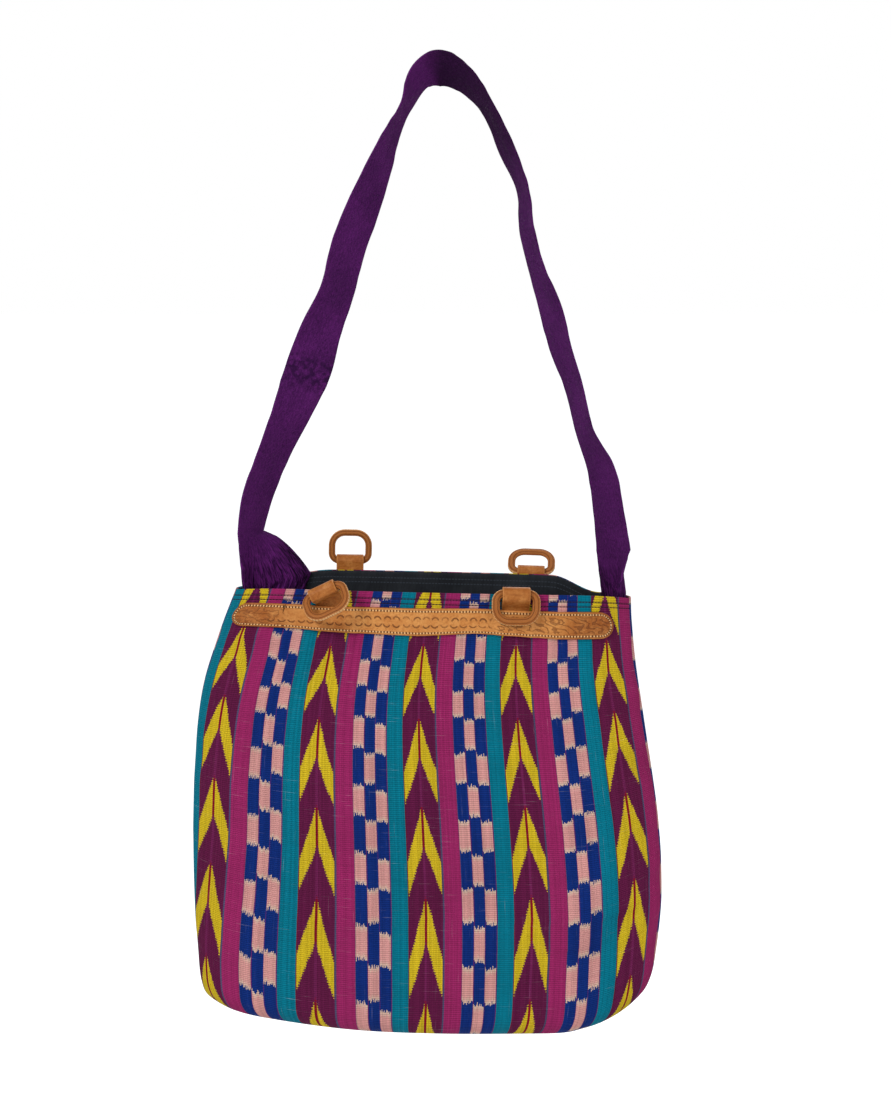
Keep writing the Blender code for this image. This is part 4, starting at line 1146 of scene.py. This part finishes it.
def make_band(name, side, node):
    radius = BAND_WIDTH / 2
    middle = down_share(BAND_TOP_MARGIN + radius)
    length = row_length(side, middle)
    start, end = BAND_MARGINS[0], length - BAND_MARGINS[1]
    turn = np.linspace(0.05, math.pi / 2, 15)
    straight = np.linspace(start + radius, end - radius, BAND_COLUMNS)[1:-1]
    columns = np.concatenate([start + radius * (1 - np.cos(turn)), straight,
                              end - radius * (1 - np.cos(turn[::-1]))])
    inset = np.maximum(0.0, radius - np.minimum(columns - start, end - columns))
    half_height = np.sqrt(radius ** 2 - inset ** 2)
    levels = np.sin(np.linspace(-math.pi / 2, math.pi / 2, BAND_ROWS))
    face, reverse, flat, edge = [], [], [], []
    for column, half in zip(columns, half_height):
        x = on_cloth(side, column / length, middle)[0]
        lower = np.interp(x, WAVE_PLACES, LOWER_WAVE) if side == "front" else 0.0
        upper = np.interp(x, WAVE_PLACES, UPPER_WAVE) if side == "front" else 0.0
        near = np.clip(min(column - start, end - column), 0.0, radius)
        beyond = radius - near
        side_way = -1.0 if column < length / 2 else 1.0
        lift = float(band_lift(side, np.array(x)))
        for level in levels:
            high = level * half
            shift = (upper * max(0.0, -level) + lower * max(0.0, level)) * (half / radius)
            down = middle + down_share(high - shift)
            share = share_at(side, down, x) if abs(x) < BAND_UPRIGHT else column / length
            inside = radius - math.hypot(beyond, high)
            rounding = 1 - (1 - min(inside / 0.0008, 1.0)) ** 2
            soft = math.sqrt(max(rounding, 0.0))
            normal = cloth_normal(side, share, down)
            base = on_cloth(side, share, down)
            face.append(base + normal * (lift + BAND_THICKNESS * (0.55 + 0.45 * soft)))
            reverse.append(base + normal * (lift + BAND_THICKNESS * 0.25 * (1 - soft)))
            flat.append((x, high + radius))
            angle = math.atan2(beyond, abs(high)) if beyond > 0 else 0.0
            corner = start + radius if side_way < 0 else end - radius
            edge.append((column if beyond <= 0 else corner + side_way * radius * angle, inside))
    shape = (len(columns), len(levels))
    grids = [np.array(face).reshape(*shape, 3), np.array(reverse).reshape(*shape, 3)]
    maps = {"flat": np.array(flat), "edge": np.array(edge)}
    piece = sheet_piece(name, *grids, tooled_leather, "bag", "tan_leather", maps, side == "back")
    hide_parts(node)
    return piece


front_leather = make_band("front_band_leather", "front", "front_band")
back_leather = make_band("back_band_leather", "back", "back_band")
print("band faces:", len(front_leather.data.polygons), "and", len(back_leather.data.polygons))

# %% [markdown]
# Tabs and rings have the hide's grain without tool marks. A tab is creased where it folds, and
# its creases are painted dark as shade. A ring is a strip folded round and sewn shut along its
# outer edge, which leaves a pale stitched rim outside and two channels along each face.

# %% Tabs and rings leather
def tab_material():
    material, net, shader = new_material("folded leather")
    place, across, along = net.uv("flat")
    hide = net.use(leather, Place=place, Darkness=0.8, Scratches=0.6)
    crease = net.node("ShaderNodeTexNoise", Vector=net.vector(net.times(across, 90.0),
                      net.times(along, 420.0)), Scale=1.0, Detail=3.0, Distortion=0.8).outputs[0]
    to_edge = net.minus(TAB_WIDTH / 2, net.math("ABSOLUTE", across))
    # Painted shade in the creases
    colour = net.mix(net.step(crease, 0.58, 0.75, 0.0, 0.45), hide.outputs["Colour"], TAN_DEEP)
    colour = net.mix(net.step(to_edge, 0.0, 0.0011, 0.5, 0.0), colour, TAN_LIGHT)
    groove = net.step(net.away(to_edge, 0.0016), 0.0001, 0.0004, 1.0, 0.0)
    height = net.times_plus(crease, -1.2, net.times(hide.outputs["Height"], 0.4))
    height = net.times_plus(groove, -0.5, height)
    dress(net, shader, colour, hide.outputs["Roughness"], LEATHER_SHINE, height, 0.7, 0.0004)
    return material


def ring_material():
    material, net, shader = new_material("ring leather")
    place, out, along = net.uv("flat")
    hide = net.use(leather, Place=place, Darkness=0.95, Scratches=0.5)
    rim = net.step(out, 0.82, 0.93)
    channel = net.step(net.away(net.math("ABSOLUTE", out), 0.5), 0.04, 0.16, 1.0, 0.0)
    tick = net.away(net.math("FRACT", net.over(along, RING_STITCH)), 0.5)
    tick = net.step(tick, 0.30, 0.42, 1.0, 0.35)
    colour = net.mix(net.times(channel, 0.65), hide.outputs["Colour"], TAN_DEEP)
    colour = net.mix(net.times(net.times(rim, tick), 0.75), colour, PALE_THREAD)
    height = net.times_plus(channel, -1.0, net.times(hide.outputs["Height"], 0.4))
    height = net.times_plus(net.times(rim, tick), 0.6, height)
    dress(net, shader, colour, hide.outputs["Roughness"], LEATHER_SHINE, height, 0.7, 0.0004)
    return material


folded_leather = tab_material()
ring_leather = ring_material()
print("materials:", folded_leather.name, "and", ring_leather.name)

# %% [markdown]
# The strip of a tab is drawn from the side first: up from its foot, round the ring's bar and
# down again. That line is then widened along the bar, with its cut edges thinned and rounded.

# %% Tabs
PLY_STEPS = 18
LOOP_STEPS = 36


def tab_path(tab):
    """The folded strip from the side: (outwards, upwards, thickness) of its middle, from the bar."""
    radius = TAB_CAVITY + TAB_PLY / 2
    shoulder, foot = tab_levels(tab)
    back = GAP - tab["depth"] + FOOT_PLY / 2
    front = back + FOOT_PLY + GAP
    levels = np.concatenate([np.linspace(foot, shoulder, 8)[:-1],
                             shoulder * (1 - np.linspace(0, 1, PLY_STEPS))[:-1]])
    plies = []
    for start, end in ((back, -radius), (front, radius)):
        share = smoothstep(shoulder, -TAB_CAVITY, levels)
        thickness = FOOT_PLY + (TAB_PLY - FOOT_PLY) * share
        plies.append(np.stack([start + (end - start) * share, levels, thickness], 1))
    angles = math.pi * (1 - np.linspace(0.0, 1.0, LOOP_STEPS))
    loop = np.stack([radius * np.cos(angles), radius * np.sin(angles), np.full(LOOP_STEPS, TAB_PLY)], 1)
    return np.concatenate([plies[0], loop, plies[1][::-1]])


def make_tab(name, tab):
    centre, bar, up, out = tab_frame(tab)
    path = tab_path(tab)
    tangents = np.gradient(path[:, :2], axis=0)
    tangents /= np.linalg.norm(tangents, axis=1, keepdims=True)
    travelled = travel(path[:, :2])
    shares = np.sin(np.linspace(-math.pi / 2, math.pi / 2, 19))
    rounded = 0.35 + 0.65 * np.sqrt(1 - np.clip((np.abs(shares) - 0.93) / 0.07, 0, 1) ** 2)
    outward = out[None] * -tangents[:, 1:] + up[None] * tangents[:, :1]
    middle = centre + path[:, :1] * out + path[:, 1:2] * up
    rows = middle[:, None] + shares[None, :, None] * bar * TAB_WIDTH / 2
    lift = outward[:, None] * (path[:, 2] / 2)[:, None, None] * rounded[None, :, None]
    over, under = rows + lift, rows - lift
    if np.dot(np.cross(up, bar), out) > 0:
        over, under = under, over
    flat = np.stack(np.meshgrid(shares * TAB_WIDTH / 2, travelled), axis=-1)
    piece = sheet_piece(f"{name}_tab_leather", over, under, folded_leather, "bag", "tan_leather",
                        {"flat": flat})
    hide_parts(f"{name}_tab")
    return piece


tab_pieces = [make_tab(name, tab) for name, tab in TABS.items()]
print("tab faces:", len(tab_pieces[0].data.polygons))

# %% [markdown]
# A ring follows a rounded outline with smaller corners at the bar. Its section is wider than
# thick, with two shallow channels pressed along each face. It turns with its own body.

# %% Rings
RING_HEIGHT = 0.0292
RING_THICKNESS = 0.0042
RING_UPPER_CORNER = 0.0065
RING_LOWER_CORNER = 0.0108
SECTION_STEPS = 40


def ring_line(tab):
    """The ring's middle line as (across, down), with the bar at zero, in even steps."""
    half = (tab["width"] - tab["band"]) / 2
    height = RING_HEIGHT - tab["band"]
    corners = [(half, 0, RING_UPPER_CORNER, 90), (half, height, RING_LOWER_CORNER, 0),
               (-half, height, RING_LOWER_CORNER, -90), (-half, 0, RING_UPPER_CORNER, -180)]
    line = []
    for x, z, radius, start in corners:
        middle = (x - math.copysign(radius, x), z + (radius if z == 0 else -radius))
        angles = np.radians(start - np.linspace(0.0, 90.0, 13))
        line += [(middle[0] + radius * math.cos(a), middle[1] - radius * math.sin(a)) for a in angles]
    line = np.array(line + line[:1])
    lengths = travel(line)
    even = np.linspace(0.0, lengths[-1], 121)[:-1]
    return np.stack([np.interp(even, lengths, line[:, axis]) for axis in (0, 1)], 1), lengths[-1]


def make_ring(name, tab):
    centre, bar, up, out = tab_frame(tab)
    rest = math.radians(tab["rest"])
    hang = out * math.sin(rest) - up * math.cos(rest)
    normal = unit(np.cross(bar, hang))
    flat_line, length = ring_line(tab)
    line = flat_line[:, :1] * bar + flat_line[:, 1:] * hang
    tangents = np.roll(line, -1, axis=0) - np.roll(line, 1, axis=0)
    tangents /= np.linalg.norm(tangents, axis=1, keepdims=True)
    sideways = np.cross(tangents, normal)
    hub = hang * (RING_HEIGHT - tab["band"]) / 2
    if np.sum(sideways * (line - hub)) < 0:
        sideways = -sideways
    angles = np.linspace(0.0, 2 * math.pi, SECTION_STEPS, endpoint=False)
    wide = np.sign(np.cos(angles)) * np.abs(np.cos(angles)) ** 0.85
    thick = np.sign(np.sin(angles)) * np.abs(np.sin(angles)) ** 0.75
    thick = thick * (1 - 0.20 * np.exp(-((np.abs(wide) - 0.5) / 0.13) ** 2))
    points = (centre + line[:, None] + sideways[:, None] * (wide * tab["band"] / 2)[None, :, None]
              + normal * (thick * RING_THICKNESS / 2)[None, :, None])
    count = len(line)
    faces = []
    for index in range(count):
        here, there = index * SECTION_STEPS, (index + 1) % count * SECTION_STEPS
        for step in range(SECTION_STEPS):
            after = (step + 1) % SECTION_STEPS
            faces.append((here + step, there + step, there + after, here + after))
    turned = np.minimum(np.arange(count), count - np.arange(count)) / count * length
    places = np.stack(np.meshgrid(wide, turned), axis=-1).reshape(-1, 2)
    piece = new_piece(f"{name}_ring_leather", points.reshape(-1, 3), faces, ring_leather, f"{name}_ring",
                      {"flat": places})
    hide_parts(f"{name}_ring")
    return piece


ring_pieces = [make_ring(name, tab) for name, tab in TABS.items()]
print("ring faces:", len(ring_pieces[0].data.polygons))

# %% [markdown]
# The strap's purple yarn is soft and a little hairy, so its shade comes from a fine nap and not
# from a clear weave. One UV map gives the place on the tape, with the distance from the crest
# along it, and a second tells how far the warp has spread into a fan, where single strands show.
# The crest turns from the light and is painted dark as its shade. One place on the left was
# crumpled and gets painted shade among its lumps, and the fan is painted dark as shade where it
# goes into the mouth.

# %% Purple yarn
STRAP_PURPLE = srgb(0.39, 0.13, 0.425)
STRAP_DEEP = srgb(0.16, 0.045, 0.20)
STRAP_PAINTED_SHADE = srgb(0.055, 0.02, 0.075)
CRUMPLED_FROM_CREST = 0.268
purple_cloth, net, shader = new_material("purple strap")
place, across, along = net.uv("flat")
_, share, fanned = net.uv("fan")
woven = net.use(weave, Place=place, Rib_Pitch=0.0013, Thread_Pitch=0.0011, Unevenness=2.5)
nap = net.node("ShaderNodeTexNoise", Vector=net.vector(net.times(across, 1500.0),
               net.times(along, 420.0)), Scale=1.0, Detail=4.0, Distortion=1.2).outputs[0]
strands = net.node("ShaderNodeTexNoise", Vector=net.vector(net.times(share, 62.0),
                   net.times(along, 110.0)), Scale=1.0, Detail=3.0, Distortion=1.0).outputs[0]
slow = net.step(net.noise(place, 26.0, 3.0), 0.3, 0.7)
plain = net.times_plus(net.step(nap, 0.3, 0.7), 0.55, net.times(slow, 0.25))
plain = net.times_plus(woven.outputs["Shade"], 0.25, plain)
# Painted shade at the crumpled place and on the crest, by distance from the crest: negative to the left
rumpled = net.step(net.math("ABSOLUTE", net.plus(along, CRUMPLED_FROM_CREST)), 0.006, 0.020, 1.0, 0.0)
lump = net.step(net.noise(place, 210.0, 3.0), 0.38, 0.62)
shadowed = net.times(rumpled, net.times(lump, 0.85))
plain = net.times(plain, net.minus(1.0, shadowed))
# Painted shade on the crest, which turns from the light
turned = net.times(net.step(along, -0.012, 0.004), net.step(along, 0.060, 0.150, 1.0, 0.25))
streaks = net.step(strands, 0.36, 0.62, 0.0, 1.1)
shade = net.mix(fanned, plain, streaks)
colour = net.mix(shade, STRAP_DEEP, STRAP_PURPLE)
colour = net.mix(net.times(turned, 0.72), colour, STRAP_PAINTED_SHADE)
# Painted shade where the fan goes into the mouth
mouth_corner_shade = net.times(net.step(share, 0.70, 0.97), net.step(fanned, 0.10, 0.55))
mouth_corner_shade = net.times(mouth_corner_shade, net.step(strands, 0.28, 0.62, 1.0, 0.45))
colour = net.mix(mouth_corner_shade, colour, STRAP_PAINTED_SHADE)
rough = net.step(nap, 0.3, 0.7, 0.95, 0.75)
height = net.times_plus(nap, 1.6, net.times(woven.outputs["Height"], 0.4))
height = net.times_plus(net.times(strands, fanned), 3.0, height)
dress(net, shader, colour, rough, 0.06, height, 0.9, 0.0005)
print("material:", purple_cloth.name)

# %% [markdown]
# The strap is one long woven tape. Its warp makes soft ribs along it, it twists as it hangs, and
# at each end the weave stops: the warp spreads into a fan of pleats that is sewn inside the
# corner of the mouth. The ribbon's middle line and tilt are those of the plain solid.

# %% Strap
STRAP_WIDTH = 0.038
STRAP_THICKNESS = 0.0016
STRAP_COLUMNS = 96
STRAP_SHARES = np.linspace(0.0, 1.0, STRAP_COLUMNS + 1)
# Its middle line: (x, y, z, visible width from the front, rows to the next point)
STRAP_ROUTE = [
    (-0.1530, 0.005, -0.3720, 0.0190, 1), (-0.1500, 0.005, -0.3550, 0.0220, 1),
    (-0.1448, 0.004, -0.3360, 0.0240, 2), (-0.1314, 0.003, -0.3030, 0.0250, 2),
    (-0.1170, 0.002, -0.2710, 0.0310, 2), (-0.1040, 0.002, -0.2380, 0.0370, 2),
    (-0.0935, 0.002, -0.2060, 0.0325, 2), (-0.0800, 0.001, -0.1740, 0.0275, 2),
    (-0.0716, 0.001, -0.1420, 0.0270, 2), (-0.0594, 0.000, -0.1100, 0.0255, 2),
    (-0.0469, 0.000, -0.0780, 0.0200, 2), (-0.0348, 0.000, -0.0470, 0.0110, 2),
    (-0.0240, 0.000, -0.0270, 0.0090, 3), (-0.0130, 0.000, -0.0060, 0.0190, 3),
    (0.0030, 0.000, 0.0015, 0.0270, 3), (0.0220, 0.000, -0.0080, 0.0190, 3),
    (0.0410, 0.000, -0.0310, 0.0095, 2), (0.0560, 0.000, -0.0625, 0.0115, 2),
    (0.0690, 0.000, -0.0940, 0.0085, 2), (0.0727, 0.001, -0.1260, 0.0105, 2),
    (0.0809, 0.001, -0.1580, 0.0120, 2), (0.0916, 0.002, -0.1900, 0.0165, 2),
    (0.1003, 0.002, -0.2220, 0.0170, 2), (0.1115, 0.002, -0.2540, 0.0135, 2),
    (0.1199, 0.003, -0.2870, 0.0130, 2), (0.1340, 0.003, -0.3200, 0.0210, 2),
    (0.1400, 0.004, -0.3530, 0.0235, 2), (0.1447, 0.004, -0.3860, 0.0265, 0),
]
FANS = {
    "left": dict(front_reach=0.012, back_reach=0.070, stand=0.014, sewn=0.026, pleat=0.0020),
    "right": dict(front_reach=0.018, back_reach=0.030, stand=-0.002, sewn=0.026, pleat=0.0012),
}
FAN_ROWS = 36
FAN_EASE = 0.0010
ROWS_PER_STEP = 6
CRUMPLED_HEIGHT = -0.252


def strap_rows():
    knots = np.array([station[:4] for station in STRAP_ROUTE])
    tangents = np.gradient(knots, axis=0)
    samples = []
    for index, station in enumerate(STRAP_ROUTE[:-1]):
        steps = station[4] * ROWS_PER_STEP
        samples += [hermite(knots, tangents, index, step / steps) for step in range(steps)]
    samples = np.array(samples + [knots[-1]])
    headings = np.gradient(samples[:, :3], axis=0) * np.array([1.0, 0.0, 1.0])
    headings /= np.linalg.norm(headings, axis=1, keepdims=True)
    inward = np.stack([headings[:, 2], np.zeros(len(samples)), -headings[:, 0]], 1)
    cosine = np.minimum(1.0, samples[:, 3] / STRAP_WIDTH)
    across = inward * cosine[:, None] + np.array([0.0, 1.0, 0.0]) * np.sqrt(1 - cosine ** 2)[:, None]
    offsets = (2 * STRAP_SHARES - 1) * STRAP_WIDTH / 2
    return samples[:, None, :3] + offsets[None, :, None] * across[:, None, :]


def corner_wall(corner, reach, down, clearance):
    """A point inside the mouth's corner, off the lining by a clearance."""
    side = "back lining" if reach > 0 else "front lining"
    share = abs(reach) / row_length(side, down)
    lift = float(lining_lift(down)) - LINING - clearance
    return wall(side, share if corner == "left" else 1 - share, down, lift)


def fan_rows(corner, edge):
    """Rows from the ribbon's end down to where the fan is sewn inside the corner."""
    fan = FANS[corner]
    clearance = GAP + FAN_EASE + STRAP_THICKNESS / 2 + fan["pleat"]
    reaches = -fan["front_reach"] + STRAP_SHARES * (fan["front_reach"] + fan["back_reach"])
    at_rim = np.array([corner_wall(corner, reach, 0.0, clearance) for reach in reaches])
    raised = np.zeros_like(edge)
    raised[:, 2] = STRAP_SHARES ** 1.5 * fan["stand"]
    middle = (edge + at_rim) / 2 + raised
    rows = []
    for step in range(1, FAN_ROWS + 1):
        share = step / FAN_ROWS
        rows.append((1 - share) ** 2 * edge + 2 * share * (1 - share) * middle + share ** 2 * at_rim)
    for depth in np.linspace(0.0, fan["sewn"], 9)[1:]:
        rows.append(np.array([corner_wall(corner, reach, down_share(depth), clearance) for reach in reaches]))
    return np.array(rows)


def pleats(rows, pleat, seed):
    """How far a fan is pushed to and fro: nothing at the ribbon, and full pleats at the wall."""
    growth = smoothstep(0.0, 1.0, (np.arange(rows) + 1) / FAN_ROWS)[:, None]
    wander = smooth_noise(np.meshgrid(STRAP_SHARES * 7, np.arange(rows) / 16), seed, (16, 8))
    broad = np.cos(math.pi * 6 * STRAP_SHARES)[None]
    fine = np.cos(math.pi * 34 * STRAP_SHARES[None] + 2.2 * wander)
    return growth * pleat * (0.55 * broad + 0.40 * fine)


def strap_ribs(rows):
    """Soft ribs along the ribbon, and slow dents where it has been folded."""
    shares, lines = np.meshgrid(STRAP_SHARES, np.arange(rows))
    dents = smooth_noise((shares * 3, lines / 17), 21, (8, 64))
    ribs = np.cos(2 * math.pi * 11 * shares + 0.8 * smooth_noise((shares * 4, lines / 9), 22, (8, 64)))
    folded = smooth_noise((shares * 6, lines / 3.1), 23, (16, 256))
    return 0.0007 * dents + 0.00007 * ribs + 0.0003 * folded


def make_strap():
    ribbon = strap_rows()
    left = fan_rows("left", ribbon[0])
    right = fan_rows("right", ribbon[-1])
    middle = np.concatenate([left[::-1], ribbon, right])
    push = strap_ribs(len(middle))
    push[:len(left)] += pleats(len(left), FANS["left"]["pleat"], 31)[::-1]
    push[-len(right):] += pleats(len(right), FANS["right"]["pleat"], 32)
    normals = np.cross(np.gradient(middle, axis=0), np.gradient(middle, axis=1))
    normals /= np.linalg.norm(normals, axis=2, keepdims=True)
    line = middle[:, STRAP_COLUMNS // 2]
    left_side = (line[:, 0] < 0) & (line[:, 2] < -0.1)
    rumpled = np.where(left_side, np.exp(-((line[:, 2] - CRUMPLED_HEIGHT) / 0.012) ** 2), 0.0)[:, None]
    places = np.meshgrid(STRAP_SHARES * 6, line[:, 2] / 0.006)
    push += 0.0016 * rumpled * smooth_noise(places, 24, (16, 64))
    middle = middle + normals * push[..., None]
    edge = np.minimum(STRAP_SHARES, 1 - STRAP_SHARES)
    soft = 0.5 + 0.5 * np.sqrt(1 - (1 - np.clip(edge / 0.03, 0, 1)) ** 2)
    half = normals * STRAP_THICKNESS / 2 * soft[None, :, None]
    line = middle[:, STRAP_COLUMNS // 2]
    travelled = travel(line)
    crest = travelled[np.argmax(line[:, 2])]
    flat = np.stack(np.meshgrid(STRAP_SHARES * STRAP_WIDTH, travelled - crest), axis=-1)
    spread = np.zeros(len(middle))
    spread[:len(left)] = smoothstep(0, 1, (np.arange(len(left))[::-1] + 1) / FAN_ROWS)
    spread[-len(right):] = smoothstep(0, 1, (np.arange(len(right)) + 1) / FAN_ROWS)
    fans = np.stack(np.meshgrid(STRAP_SHARES, spread), axis=-1)
    piece = sheet_piece("strap_cloth", middle + half, middle - half, purple_cloth, "bag", "purple_strap",
                        {"flat": flat, "fan": fans})
    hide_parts("strap")
    print("strap length:", round(float(travelled[-1]), 3))
    return piece, float(travelled[-1])


strap_cloth, strap_length = make_strap()
print("strap faces:", len(strap_cloth.data.polygons))

# %% [markdown]
# The panels are cut as wide as the loom's cloth, and the strap's tape is as long as its middle
# line.

print("cloth pieces: two panels, the lining and the strap")
